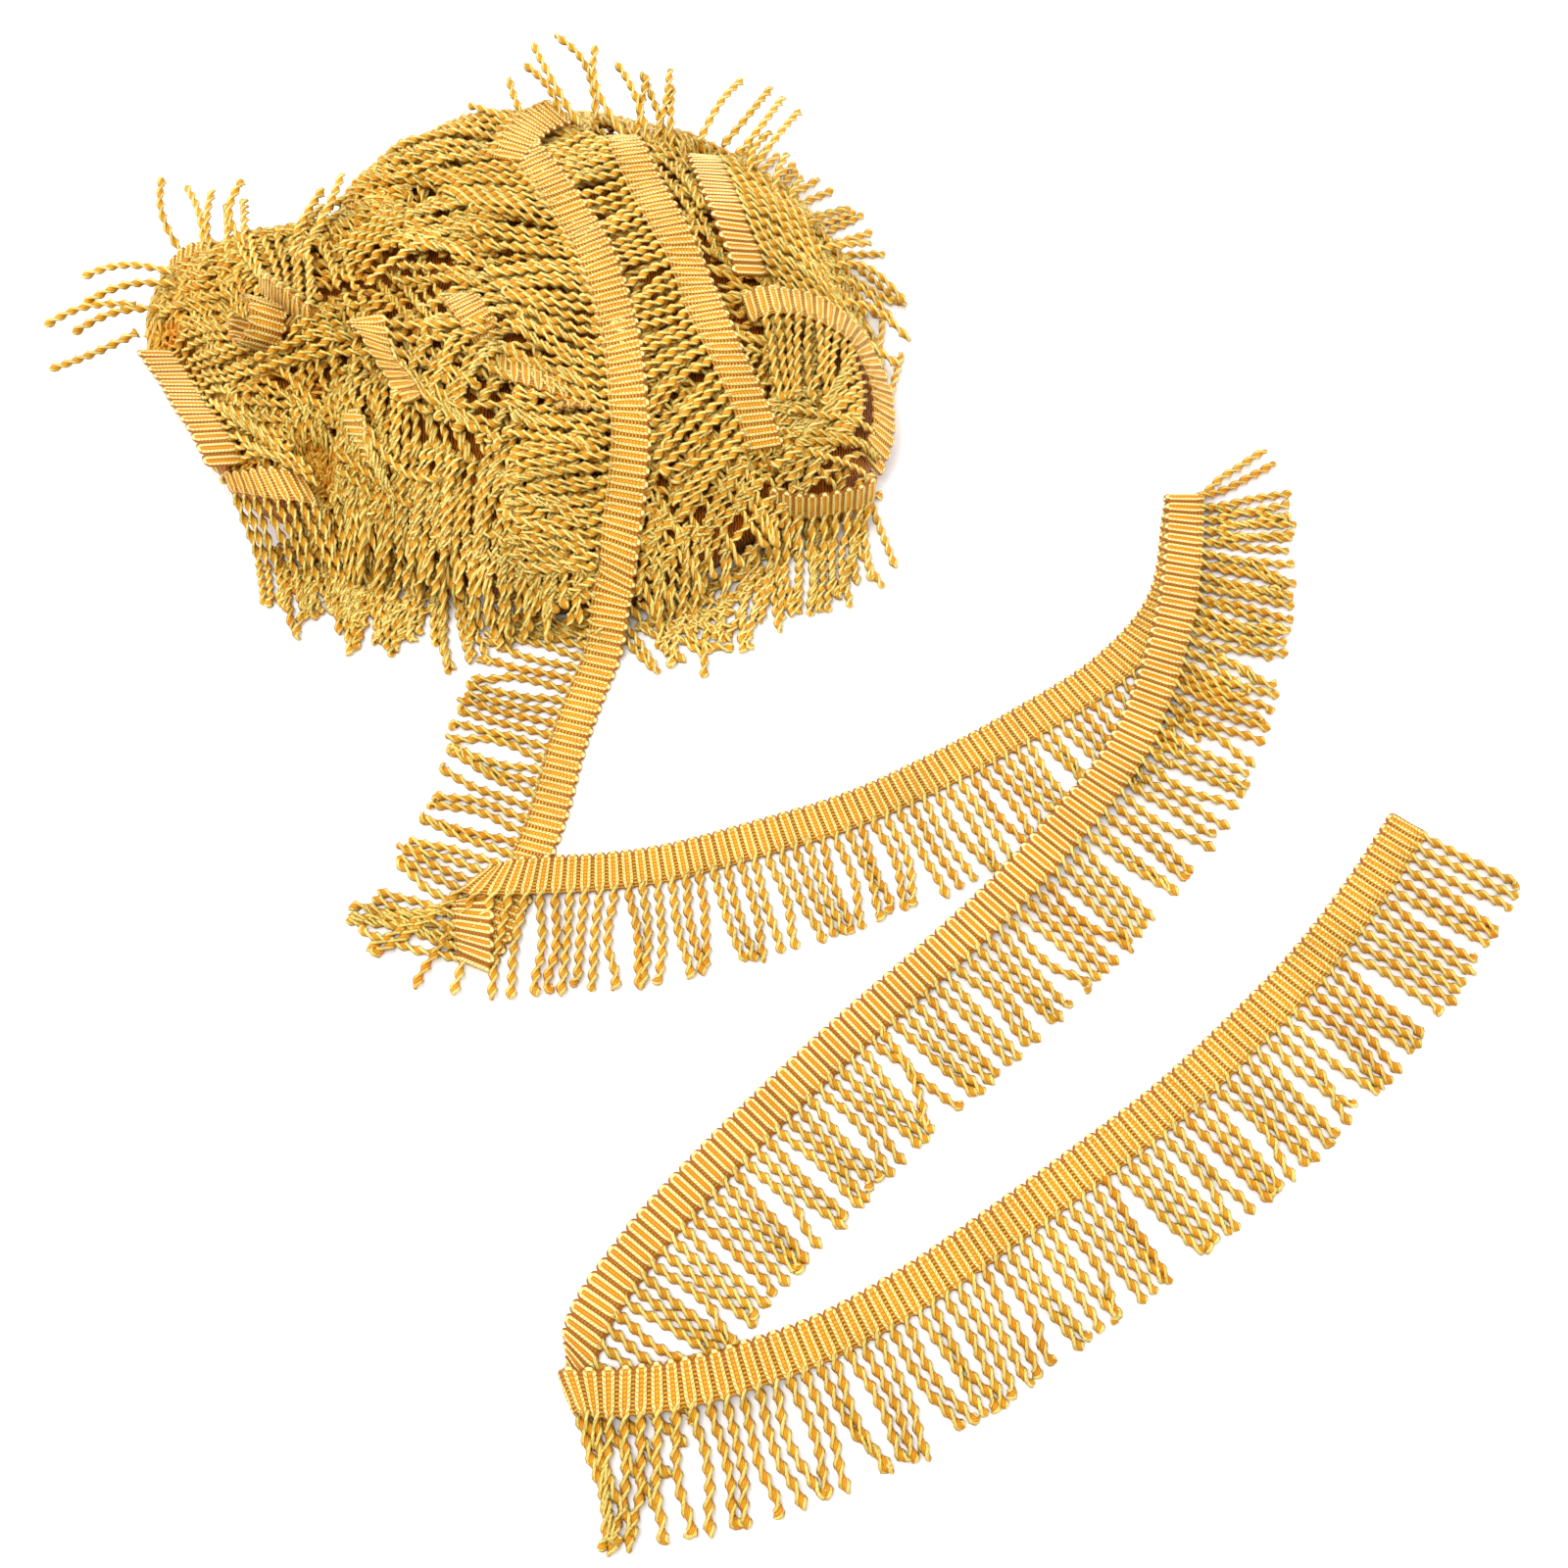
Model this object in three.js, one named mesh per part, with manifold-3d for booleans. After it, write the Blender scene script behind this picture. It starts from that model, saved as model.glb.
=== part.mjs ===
// A length of twisted-cord tassel fringe: a woven heading band with a row of looped, twisted cords
// along one edge. Most of it lies loosely wound in a low two-lobed heap, and the loose end runs out
// over the floor in four legs, folded over at each turn. Millimetres, +Z up, floor at z = 0.
import * as THREE from "three";
import { mergeVertices } from "three/addons/utils/BufferGeometryUtils.js";
import Module from "manifold-3d";

const wasm = await Module();
wasm.setup();

// Sizes of the trim
const HEADING_WIDTH = 16;
const HEADING_THICK = 2;
const CORD_HALF = 1.8;
const CORD_TALL = 3.3;
const STRIP_WIDTH = 2.2;
const STRIP_TALL = 2;
const GAP = 0.4;

// Heights of the folded layers, measured under each
const LAYER_2 = 2.7;
const LAYER_3 = 5.4;
const OVER_CORDS = 3.9;

// The loose end's heading where it still lies on the heap, a row for each section
const CROWN_RUN = [
  { x: -12, y: 92, across: 210 },
  { x: 5, y: 64, across: 208 },
  { x: 22, y: 33, across: 207 },
  { x: 33, y: 2, across: 202 },
  { x: 40, y: -27, across: 196 },
  { x: 43.3, y: -53.8, across: 187 },
  { x: 44.5, y: -74.4, across: 182 },
  { x: 43, y: -92.2, across: 177 },
  { x: 39.5, y: -110, across: 171 },
  { x: 37.2, y: -119, across: 169.5 },
];
const CROWN_LIFT = 1.9;

// The loose end's heading, a row for each section: its middle, its underside, and the way that it
// faces across, from the scalloped edge to the corded edge, in degrees. reach is the cords' length.
const LEG_A = [
  { x: 34.6, y: -128.5, z: 15, across: 168, reach: 30 },
  { x: 32.4, y: -137, z: 5, across: 167, reach: 34 },
  { x: 30.2, y: -145, z: 0.8, across: 166, reach: 40 },
  { x: 26, y: -158, z: 0, across: 165.5, reach: 43 },
  { x: 18.7, y: -183.2, z: 0, across: 165.1, reach: 45 },
  { x: 9.4, y: -228.3, z: 0, across: 164.8, reach: 44 },
  { x: 6, y: -238.6, z: 0, across: 163.8, reach: 42 },
  { x: -6.8, y: -270.3, z: 0, across: 157.8, reach: 45 },
];
const TURN = [
  { x: -14.8, y: -273.7, z: LAYER_2, across: 167.9 },
  { x: -15.9, y: -262.4, z: LAYER_2, across: 178 },
];
const LEG_B = [
  { x: -5.5, y: -250.6, z: LAYER_3, across: 246, reach: 45 },
  { x: 13.5, y: -248.4, z: LAYER_2, across: 266, reach: 45 },
  { x: 31, y: -246.6, z: 0.6, across: 272, reach: 45 },
  { x: 56.8, y: -243, z: 0, across: 279.7, reach: 46 },
  { x: 98.5, y: -231.4, z: 0, across: 286.2, reach: 45 },
  { x: 139.8, y: -217.3, z: 0, across: 292, reach: 45 },
  { x: 178.1, y: -198, z: 0, across: 298.8, reach: 45 },
  { x: 214.9, y: -176, z: 0, across: 302.5, reach: 42 },
  { x: 250.6, y: -151.1, z: 0, across: 309.9, reach: 20 },
  { x: 279.4, y: -116, z: 0, across: 334.3, reach: 0 },
  { x: 290.4, y: -72.6, z: 0, across: 353, reach: 0 },
];
const LEG_C = [
  { x: 291.2, y: -73.9, z: OVER_CORDS, across: 353.5, reach: 44 },
  { x: 284.3, y: -114.9, z: OVER_CORDS, across: 347, reach: 45 },
  { x: 271.7, y: -154.8, z: OVER_CORDS, across: 339, reach: 45 },
  { x: 253.7, y: -192.8, z: OVER_CORDS, across: 328.8, reach: 44 },
  { x: 227.5, y: -225.7, z: OVER_CORDS, across: 318, reach: 43 },
  { x: 200.1, y: -256.3, z: OVER_CORDS, across: 315.6, reach: 42 },
  { x: 169.7, y: -284.5, z: 1.2, across: 312, reach: 41 },
  { x: 139.1, y: -311.3, z: 0, across: 312.5, reach: 41 },
  { x: 109.9, y: -338.9, z: 0, across: 315.2, reach: 41 },
  { x: 81.2, y: -367.9, z: 0, across: 317, reach: 40 },
  { x: 55.3, y: -397.9, z: 0, across: 321.5, reach: 38 },
  { x: 37, y: -430, z: 0, across: 322, reach: 22 },
];
const LEG_D = [
  { x: 44, y: -447.5, z: OVER_CORDS, across: 278, reach: 44 },
  { x: 83.6, y: -442.2, z: OVER_CORDS, across: 284, reach: 43 },
  { x: 100, y: -437.3, z: OVER_CORDS, across: 289, reach: 42 },
  { x: 122.5, y: -429, z: 0.5, across: 294, reach: 41 },
  { x: 158.7, y: -410, z: 0, across: 299.5, reach: 41 },
  { x: 192.6, y: -387.7, z: 0, across: 303, reach: 41 },
  { x: 225.6, y: -364.9, z: 0, across: 305.5, reach: 41 },
  { x: 258.7, y: -340.9, z: 0, across: 309, reach: 41 },
  { x: 289.2, y: -314.5, z: 0, across: 313, reach: 42 },
  { x: 318.8, y: -286.2, z: 0, across: 317.5, reach: 43 },
  { x: 345.2, y: -255.8, z: 0, across: 321, reach: 43 },
  { x: 369.8, y: -223.3, z: 0, across: 325, reach: 44 },
];

// The folds between the legs: the crease's middle, the way it runs, its length, and the layer
// heights below and above it. bulge is the way that the fold points, in degrees.
const FOLDS = {
  foot: { x: -13.3, y: -285, across: 157, long: 16, low: 0, high: LAYER_2, bulge: 247 },
  corner: { x: -14.6, y: -251.4, across: 222, long: 21, low: LAYER_2, high: LAYER_3, bulge: 132 },
  far: { x: 292.6, y: -62.1, across: 360, long: 16, low: 0, high: OVER_CORDS, bulge: 90 },
  near: { x: 35.4, y: -446.5, across: 295.6, long: 16, low: 0, high: OVER_CORDS, bulge: 205.6 },
};

// The strip that carries the fan of cords round the foot fold
const FAN = [
  { x: -25.5, y: -258.5, z: 0, across: 178, reach: 43 },
  { x: -24.5, y: -271.8, z: 0, across: 192, reach: 46 },
  { x: -23.3, y: -283.9, z: 0, across: 212, reach: 47 },
  { x: -17.4, y: -290.3, z: 0, across: 238, reach: 47 },
  { x: -6.5, y: -294.3, z: 0, across: 268, reach: 40 },
];

const FAN_CORDS = 10;

// The corded part of each leg, between two of its rows, and its number of cords. fan is how far the
// first cords turn aside, in degrees, as far as row fanned.
const CORDED = [
  { leg: "a", rows: LEG_A, first: 3, last: 6, cords: 15, fan: 0, fanned: 4 },
  { leg: "b", rows: LEG_B, first: 2, last: 8, cords: 46, fan: -14, fanned: 2.6 },
  { leg: "c", rows: LEG_C, first: 0, last: 11, cords: 68, fan: 34, fanned: 0.7 },
  { leg: "d", rows: LEG_D, first: 0, last: 11, cords: 61, fan: 0, fanned: 1 },
];

// The heap's foot: distance of its rim from the heap's middle at each bearing in degrees
const HEAP_X = -55;
const HEAP_Y = 10;
const RIM = [
  { bearing: -180, out: 134 },
  { bearing: -165, out: 118 },
  { bearing: -150, out: 115 },
  { bearing: -135, out: 112 },
  { bearing: -120, out: 105 },
  { bearing: -105, out: 101 },
  { bearing: -90, out: 106 },
  { bearing: -75, out: 130 },
  { bearing: -62, out: 155 },
  { bearing: -50, out: 170 },
  { bearing: -38, out: 179 },
  { bearing: -27, out: 196 },
  { bearing: -18, out: 217 },
  { bearing: -8, out: 219 },
  { bearing: 5, out: 204 },
  { bearing: 20, out: 202 },
  { bearing: 40, out: 190 },
  { bearing: 60, out: 175 },
  { bearing: 80, out: 153 },
  { bearing: 100, out: 130 },
  { bearing: 115, out: 101 },
  { bearing: 130, out: 82 },
  { bearing: 145, out: 98 },
  { bearing: 157, out: 138 },
  { bearing: 170, out: 141 },
];
const RIM_WALL = 6;
const RIM_STEPS = 72;
const HEAP_RINGS = [0.16, 0.3, 0.43, 0.55, 0.66, 0.75, 0.83, 0.895, 0.945, 0.98, 1];

// The heap's two lobes: middle, half sizes and height
const LOBES = [
  { x: 15, y: 5, halfX: 190, halfY: 178, tall: 59 },
  { x: -142, y: 12, halfX: 86, halfY: 118, tall: 43 },
];

// Runs of heading that show on the heap, each with its own rows
const RUNS = {
  middle: [
    { x: 30.7, y: 111, across: -158 },
    { x: 49.2, y: 62, across: -164 },
    { x: 66, y: 22, across: -168 },
    { x: 82.4, y: -24, across: -168 },
    { x: 91.6, y: -43.7, across: -166 },
    { x: 101.5, y: -64, across: -163 },
  ],
  right: [
    { x: 71.8, y: 106.5, across: 16 },
    { x: 79, y: 76, across: 13 },
    { x: 86, y: 52, across: 14 },
    { x: 96, y: 24, across: 18 },
  ],
  loop: [
    { x: 93, y: 1, across: -76 },
    { x: 107.5, y: 6, across: -80 },
    { x: 121.7, y: 9, across: -87 },
    { x: 133.8, y: 7.5, across: -98 },
    { x: 143.4, y: 2.5, across: -112 },
    { x: 147, y: -5, across: -127 },
    { x: 151.4, y: -16.2, across: -145 },
    { x: 152.5, y: -28, across: -160 },
    { x: 150.6, y: -42, across: -176 },
    { x: 145, y: -53, across: -192 },
  ],
  left: [
    { x: -180, y: 12, across: 8 },
    { x: -162.5, y: -14, across: 14 },
    { x: -151, y: -32, across: 16 },
    { x: -143, y: -46, across: 20 },
    { x: -132, y: -58, across: 34 },
  ],
};
const RUN_LIFT = 2.6;
const RUN_SUNK = 3;

// Cords that lie out past the heap's foot: from one bearing to another, their number, their reach,
// and the way that the first and the last one point
const RIM_FRINGE = {
  right_back: { from: 22, to: 44, cords: 9, reach: 30, first: 14, last: 50 },
  right_front: { from: -34, to: -18, cords: 10, reach: 44, first: -92, last: -80 },
  front: { from: -57, to: -49, cords: 5, reach: 38, first: -50, last: -30 },
  left_front: { from: -122, to: -80, cords: 13, reach: 40, first: -98, last: -84 },
};

// Cords that spring from the heap's shoulders: where their strip starts and ends, their number and
// reach, the way the first and the last one point, and how steeply they rise
const SPRAYS = {
  back: { x1: -14, y1: 124, x2: 54, y2: 118, cords: 10, reach: 46, first: 142, last: 60, rise: 34 },
  right: { x1: 72, y1: 112, x2: 108, y2: 88, cords: 6, reach: 38, first: 78, last: 34, rise: 26 },
  side: { x1: 126, y1: 62, x2: 140, y2: 24, cords: 5, reach: 34, first: 6, last: -42, rise: 14 },
  left: { x1: -168, y1: 51, x2: -134, y2: 57, cords: 7, reach: 46, first: 114, last: 86, rise: 20 },
  notch: { x1: -117, y1: 58, x2: -98, y2: 63, cords: 4, reach: 34, first: 104, last: 126, rise: 14 },
  end: { x1: -172, y1: 10, x2: -171, y2: 35, cords: 5, reach: 52, first: 190, last: 160, rise: 14 },
};
const SPRAY_STEPS = 5;
const SEAT = 0.6;

const radians = (degrees) => (degrees * Math.PI) / 180;
const mix = (a, b, t) => a + (b - a) * t;
const clamp01 = (t) => Math.min(1, Math.max(0, t));

// A repeatable uneven number from -1 to 1
function uneven(i, k) {
  const v = Math.sin(i * 12.9898 + k * 78.233) * 43758.5453;
  return 2 * (v - Math.floor(v)) - 1;
}

// A cubic through four even values
function cubic(a, b, c, d, t) {
  return b + 0.5 * t * (c - a + t * (2 * a - 5 * b + 4 * c - d + t * (3 * (b - c) + d - a)));
}

// Rows between the given ones, on smooth curves through them, about step mm apart
function stations(rows, step) {
  const made = [];
  const at = (i) => rows[Math.min(rows.length - 1, Math.max(0, i))];
  for (let i = 0; i + 1 < rows.length; i++) {
    const span = Math.hypot(rows[i + 1].x - rows[i].x, rows[i + 1].y - rows[i].y);
    const parts = Math.max(1, Math.round(span / step));
    for (let j = 0; j < parts; j++) {
      const t = j / parts;
      const row = { at: i + t };
      for (const key of Object.keys(rows[i])) {
        const curved = cubic(at(i - 1)[key], at(i)[key], at(i + 1)[key], at(i + 2)[key], t);
        const straight = key === "z" || key === "reach";
        row[key] = straight ? mix(at(i)[key], at(i + 1)[key], t) : curved;
      }
      made.push(row);
    }
  }
  made.push({ ...rows[rows.length - 1], at: rows.length - 1 });
  return made;
}

// A closed solid from rings of points, each ring the same count and turning the same way
function loft(rings) {
  const n = rings[0].length;
  const last = (rings.length - 1) * n;
  const index = [];
  for (let i = 0; i + 1 < rings.length; i++) {
    for (let j = 0; j < n; j++) {
      const a = i * n + j;
      const b = i * n + ((j + 1) % n);
      index.push(a, b, b + n, a, b + n, a + n);
    }
  }
  for (let j = 1; j + 1 < n; j++) {
    index.push(0, j + 1, j, last, last + j, last + j + 1);
  }
  const geometry = new THREE.BufferGeometry();
  const points = rings.flat().flatMap((p) => [p.x, p.y, p.z]);
  geometry.setAttribute("position", new THREE.Float32BufferAttribute(points, 3));
  geometry.setIndex(index);
  const made = solidOf(geometry);
  return made.volume() > 0 ? made : solidOf(geometry.setIndex(index.reverse()));
}

function solidOf(geometry) {
  const merged = mergeVertices(geometry, 1e-3);
  return new wasm.Manifold(
    new wasm.Mesh({
      numProp: 3,
      vertProperties: merged.attributes.position.array,
      triVerts: new Uint32Array(merged.index.array),
    }),
  );
}

function meshOf(name, solid, color) {
  const { vertProperties, triVerts, numProp } = solid.getMesh();
  const points = [];
  for (let i = 0; i < vertProperties.length; i += numProp) {
    points.push(vertProperties[i], vertProperties[i + 1], vertProperties[i + 2]);
  }
  const geometry = new THREE.BufferGeometry();
  geometry.setAttribute("position", new THREE.Float32BufferAttribute(points, 3));
  geometry.setIndex([...triVerts]);
  geometry.computeVertexNormals();
  const material = new THREE.MeshStandardMaterial({ color, roughness: 0.55, metalness: 0 });
  const mesh = new THREE.Mesh(geometry, material);
  mesh.name = name;
  return mesh;
}

const compass = (degrees) => new THREE.Vector3(Math.cos(radians(degrees)), Math.sin(radians(degrees)), 0);

// A section of the heading: its two edges, and how far the sheet's faces are set off along its normal
function headingRing(s, f, normal, grow) {
  const across = f.clone().sub(s).normalize();
  const corner = (edge, side, up) =>
    edge
      .clone()
      .addScaledVector(across, side * grow)
      .addScaledVector(normal, up * (HEADING_THICK / 2 + grow));
  return [corner(s, -1, -1), corner(s, -1, 1), corner(f, 1, 1), corner(f, 1, -1)];
}

// The sections of a leg, each with its two edges; on the heap both edges follow its top
function legEdges(rows, step) {
  return stations(rows, step).map((row) => {
    const half = compass(row.across).multiplyScalar(HEADING_WIDTH / 2);
    const edge = (side) => {
      const p = new THREE.Vector3(row.x, row.y, 0).addScaledVector(half, side);
      return p.setZ((row.z ?? heapTop(p.x, p.y) + CROWN_LIFT) + HEADING_THICK / 2);
    };
    return { s: edge(-1), f: edge(1) };
  });
}

function legRings(edges, grow = 0) {
  const middle = ({ s, f }) => s.clone().add(f).multiplyScalar(0.5);
  return edges.map((edge, i) => {
    const before = middle(edges[Math.max(0, i - 1)]);
    const after = middle(edges[Math.min(edges.length - 1, i + 1)]);
    const across = edge.f.clone().sub(edge.s);
    return headingRing(edge.s, edge.f, across.cross(after.sub(before)).normalize(), grow);
  });
}

// The sections round a fold, from the layer below to the layer above; faces is 1 where the layer
// below has its face up and -1 where it lies turned over
function foldRings(fold, faces) {
  const out = compass(fold.bulge);
  const half = compass(fold.across).multiplyScalar(fold.long / 2);
  const radius = (fold.high - fold.low) / 2;
  const middle = new THREE.Vector3(fold.x, fold.y, (fold.low + fold.high + HEADING_THICK) / 2);
  return [-60, -20, 20, 60].map((turn) => {
    const c = Math.cos(radians(turn));
    const s = Math.sin(radians(turn));
    const mid = middle.clone().addScaledVector(out, radius * c);
    mid.z += radius * s;
    const normal = out.clone().multiplyScalar(-faces * c);
    normal.z = -faces * s;
    return headingRing(mid.clone().sub(half), mid.clone().add(half), normal, 0);
  });
}

// One cord: a three-sided strand from inside its strip. One with no rise goes down to the floor and
// lies level along it; one with a rise springs up and out and sags at its end. grow fattens it.
function cord(root, reach, bend, seed, grow) {
  const sections = [
    { along: -0.4, half: 1.1, tall: STRIP_TALL - 0.7 },
    { along: 7, half: CORD_HALF, tall: CORD_TALL },
    { along: reach * 0.62, half: CORD_HALF, tall: CORD_TALL - 0.3 * Math.abs(uneven(seed, 3)) },
    { along: reach, half: 1.1, tall: 2.2 },
  ];
  const rings = sections.map(({ along, half, tall }, i) => {
    const way = compass(root.across + (bend * along) / reach);
    const side = new THREE.Vector3(-way.y, way.x, 0);
    const climb = radians(root.rise ?? 0);
    const sag = root.rise === undefined ? 0 : 5 * (along / reach) ** 2;
    const floor = root.rise === undefined && i > 0 ? 0 : root.z + 0.3 + along * Math.sin(climb) - sag;
    const long = along * Math.cos(climb) + (i === 3 ? grow : i === 0 ? -grow : 0);
    const foot = new THREE.Vector3(root.x, root.y, floor - grow).addScaledVector(way, long);
    return [
      foot.clone().addScaledVector(side, half + 1.8 * grow),
      foot.clone().addScaledVector(side, -half - 1.8 * grow),
      foot.clone().setZ(floor + tall + 1.8 * grow),
    ];
  });
  return loft(rings);
}

// A narrow strip with its cords. The cords stand in small groups that draw together at their ends.
function fringe(line, count, seed, grow = 0) {
  const rings = line.map((row, i) => {
    const way = compass(row.strip ?? row.across);
    const end = i === 0 ? 1 : i === line.length - 1 ? -1 : 0;
    const next = line[i + end];
    const past = (end ** 2 * grow) / (Math.hypot(next.x - row.x, next.y - row.y) || 1);
    const corner = (side, up) =>
      new THREE.Vector3(
        row.x + (row.x - next.x) * past,
        row.y + (row.y - next.y) * past,
        row.z + up * STRIP_TALL + (2 * up - 1) * grow,
      ).addScaledVector(way, side * (STRIP_WIDTH / 2 + grow));
    return [corner(-1, 0), corner(-1, 1), corner(1, 1), corner(1, 0)];
  });
  const way = compass(line[0].strip ?? line[0].across);
  const ahead = way.x * (line[1].y - line[0].y) - way.y * (line[1].x - line[0].x);
  const marks = [0];
  for (let i = 1; i < line.length; i++) {
    marks.push(marks[i - 1] + Math.hypot(line[i].x - line[i - 1].x, line[i].y - line[i - 1].y));
  }
  const pitch = marks[marks.length - 1] / count;
  const keys = ["x", "y", "z", "across", "reach", "rise"].filter((key) => key in line[0]);
  const cords = [];
  let i = 0;
  for (let group = 0; i < count; group++) {
    const size = Math.min(count - i, 3 + Math.round(1.2 + 1.2 * uneven(group + seed, 1)));
    const sway = 2.6 * uneven(group + seed, 2);
    const bend = 5 * uneven(group + seed, 4);
    for (let j = 0; j < size; j++, i++) {
      const s = pitch * (i + 0.5);
      const k = marks.findIndex((m) => m >= s);
      const t = (s - marks[k - 1]) / (marks[k] - marks[k - 1]);
      const root = {};
      for (const key of keys) {
        root[key] = mix(line[k - 1][key], line[k][key], t);
      }
      const draw = Math.atan(((j - (size - 1) / 2) * 0.8) / root.reach);
      root.across += sway - (Math.sign(ahead) * draw * 180) / Math.PI;
      const reach = root.reach * (0.97 + 0.05 * uneven(i + seed, 5));
      cords.push(cord(root, reach, bend, i + seed, grow));
    }
  }
  return wasm.Manifold.union([loft(rings), ...cords]);
}

// The line of a leg's strip, just off the heading's corded edge, between two of the leg's rows
function stripLine({ rows, first, last, fan, fanned }) {
  const off = HEADING_WIDTH / 2 + GAP + STRIP_WIDTH / 2;
  const corded = stations(rows, 10).filter((row) => row.at >= first && row.at <= last);
  return corded.map((row) => ({
    ...row,
    x: row.x + off * Math.cos(radians(row.across)),
    y: row.y + off * Math.sin(radians(row.across)),
    strip: row.across,
    across: row.across + fan * clamp01(1 - (row.at - first) / (fanned - first)),
  }));
}

// The heap's rim at a bearing
function rimOut(bearing) {
  const n = RIM.length;
  const b = ((((bearing + 180) % 360) + 360) % 360) - 180;
  let i = RIM.findLastIndex((row) => row.bearing <= b);
  const at = (k) => RIM[((k % n) + n) % n].out;
  const start = RIM[i].bearing;
  const end = i + 1 < n ? RIM[i + 1].bearing : 180;
  return cubic(at(i - 1), at(i), at(i + 1), at(i + 2), (b - start) / (end - start));
}

// Height of the heap's top over the floor: two flat-topped lobes, steep at the rim, lumpy all over
function heapTop(x, y) {
  const dx = x - HEAP_X;
  const dy = y - HEAP_Y;
  const share = Math.min(1, Math.hypot(dx, dy) / rimOut((Math.atan2(dy, dx) * 180) / Math.PI));
  let sum = 0;
  for (const lobe of LOBES) {
    const u = Math.abs((x - lobe.x) / lobe.halfX);
    const v = Math.abs((y - lobe.y) / lobe.halfY);
    const crown = lobe.tall * Math.sqrt(clamp01(1 - u ** 3 - v ** 3));
    sum += crown ** 4;
  }
  const edge = Math.sqrt(1 - share ** 5);
  const lumps =
    1.6 * Math.sin(x / 7.1 + 1.3 * Math.sin(y / 19)) * Math.sin(y / 8.3 + 0.9 * Math.sin(x / 17)) +
    1.5 * Math.sin(x / 15.7 - y / 12.9 + 0.8);
  return RIM_WALL + (sum ** 0.25 + lumps) * edge;
}

function heapBody() {
  const point = (bearing, share) => {
    const out = rimOut(bearing) * share;
    const x = HEAP_X + out * Math.cos(radians(bearing));
    const y = HEAP_Y + out * Math.sin(radians(bearing));
    return { x, y };
  };
  const points = [HEAP_X, HEAP_Y, heapTop(HEAP_X, HEAP_Y)];
  const bearings = Array.from({ length: RIM_STEPS }, (_, i) => (i * 360) / RIM_STEPS);
  for (const share of HEAP_RINGS) {
    for (const bearing of bearings) {
      const { x, y } = point(bearing, share);
      points.push(x, y, share === 1 ? RIM_WALL : heapTop(x, y));
    }
  }
  for (const bearing of bearings) {
    const { x, y } = point(bearing, 1);
    points.push(x, y, 0);
  }
  points.push(HEAP_X, HEAP_Y, 0);
  const foot = points.length / 3 - 1;
  const index = [];
  for (let j = 0; j < RIM_STEPS; j++) {
    const next = (j + 1) % RIM_STEPS;
    index.push(0, 1 + j, 1 + next);
    for (let i = 0; i < HEAP_RINGS.length; i++) {
      const a = 1 + i * RIM_STEPS;
      index.push(a + j, a + RIM_STEPS + j, a + RIM_STEPS + next, a + j, a + RIM_STEPS + next, a + next);
    }
    const base = 1 + HEAP_RINGS.length * RIM_STEPS;
    index.push(foot, base + next, base + j);
  }
  const geometry = new THREE.BufferGeometry();
  geometry.setAttribute("position", new THREE.Float32BufferAttribute(points, 3));
  geometry.setIndex(index);
  return solidOf(geometry);
}

// A run of heading raised on the heap, its two edges each following the heap's top
function heapRun(rows) {
  const rings = stations(rows, 12).map((row) => {
    const edge = (side) => {
      const x = row.x + (side * HEADING_WIDTH * Math.cos(radians(row.across))) / 2;
      const y = row.y + (side * HEADING_WIDTH * Math.sin(radians(row.across))) / 2;
      return new THREE.Vector3(x, y, heapTop(x, y));
    };
    const raise = (p, up) => p.clone().setZ(Math.max(1, p.z + up));
    const s = edge(-1);
    const f = edge(1);
    return [raise(s, -RUN_SUNK), raise(s, RUN_LIFT), raise(f, RUN_LIFT), raise(f, -RUN_SUNK)];
  });
  return loft(rings);
}

// The strip of a rim fringe, outside the heap's foot wall
function rimLine({ from, to, reach, first, last }) {
  const step = 360 / RIM_STEPS / 2;
  const line = [];
  for (let i = 0; i <= Math.round((to - from) / step); i++) {
    const bearing = from + i * step;
    const t = i / Math.round((to - from) / step);
    const here = rimPoint(bearing);
    const ahead = rimPoint(bearing + 0.5);
    const strip = (Math.atan2(ahead.y - here.y, ahead.x - here.x) * 180) / Math.PI - 90;
    const off = GAP + 0.5 + STRIP_WIDTH / 2;
    line.push({
      x: here.x + off * Math.cos(radians(strip)),
      y: here.y + off * Math.sin(radians(strip)),
      z: 0,
      strip,
      across: mix(first, last, t),
      reach,
    });
  }
  return line;
}

// The strip of a spray, let into the heap's top
function sprayLine({ x1, y1, x2, y2, reach, first, last, rise }) {
  const strip = (Math.atan2(y2 - y1, x2 - x1) * 180) / Math.PI + 90;
  return Array.from({ length: SPRAY_STEPS + 1 }, (_, i) => {
    const t = i / SPRAY_STEPS;
    const x = mix(x1, x2, t);
    const y = mix(y1, y2, t);
    return { x, y, z: heapTop(x, y) - 1.5, strip, across: mix(first, last, t), reach, rise };
  });
}

function rimPoint(bearing) {
  const out = rimOut(bearing);
  return { x: HEAP_X + out * Math.cos(radians(bearing)), y: HEAP_Y + out * Math.sin(radians(bearing)) };
}

const GOLD = 0xe0a83c;
const PALE_GOLD = 0xecc468;

const part = new THREE.Group();
part.name = "tassel_fringe_trim";

const onHeap = legEdges([...CROWN_RUN], 12);
const offHeap = legEdges(LEG_A, 9);
const sprays = Object.entries(SPRAYS).map(([place, spray], i) => {
  const made = (grow) => fringe(sprayLine(spray), spray.cords, 500 + 20 * i, grow);
  return { name: "spray_" + place, solid: made(0), room: made(SEAT) };
});
const heap = wasm.Manifold.union([heapBody(), ...Object.values(RUNS).map(heapRun)]).subtract(
  wasm.Manifold.union([
    loft(legRings([...onHeap, ...offHeap], SEAT)),
    ...sprays.map((spray) => spray.room),
  ]),
);
part.add(meshOf("wound_heap", heap, GOLD));

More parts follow.
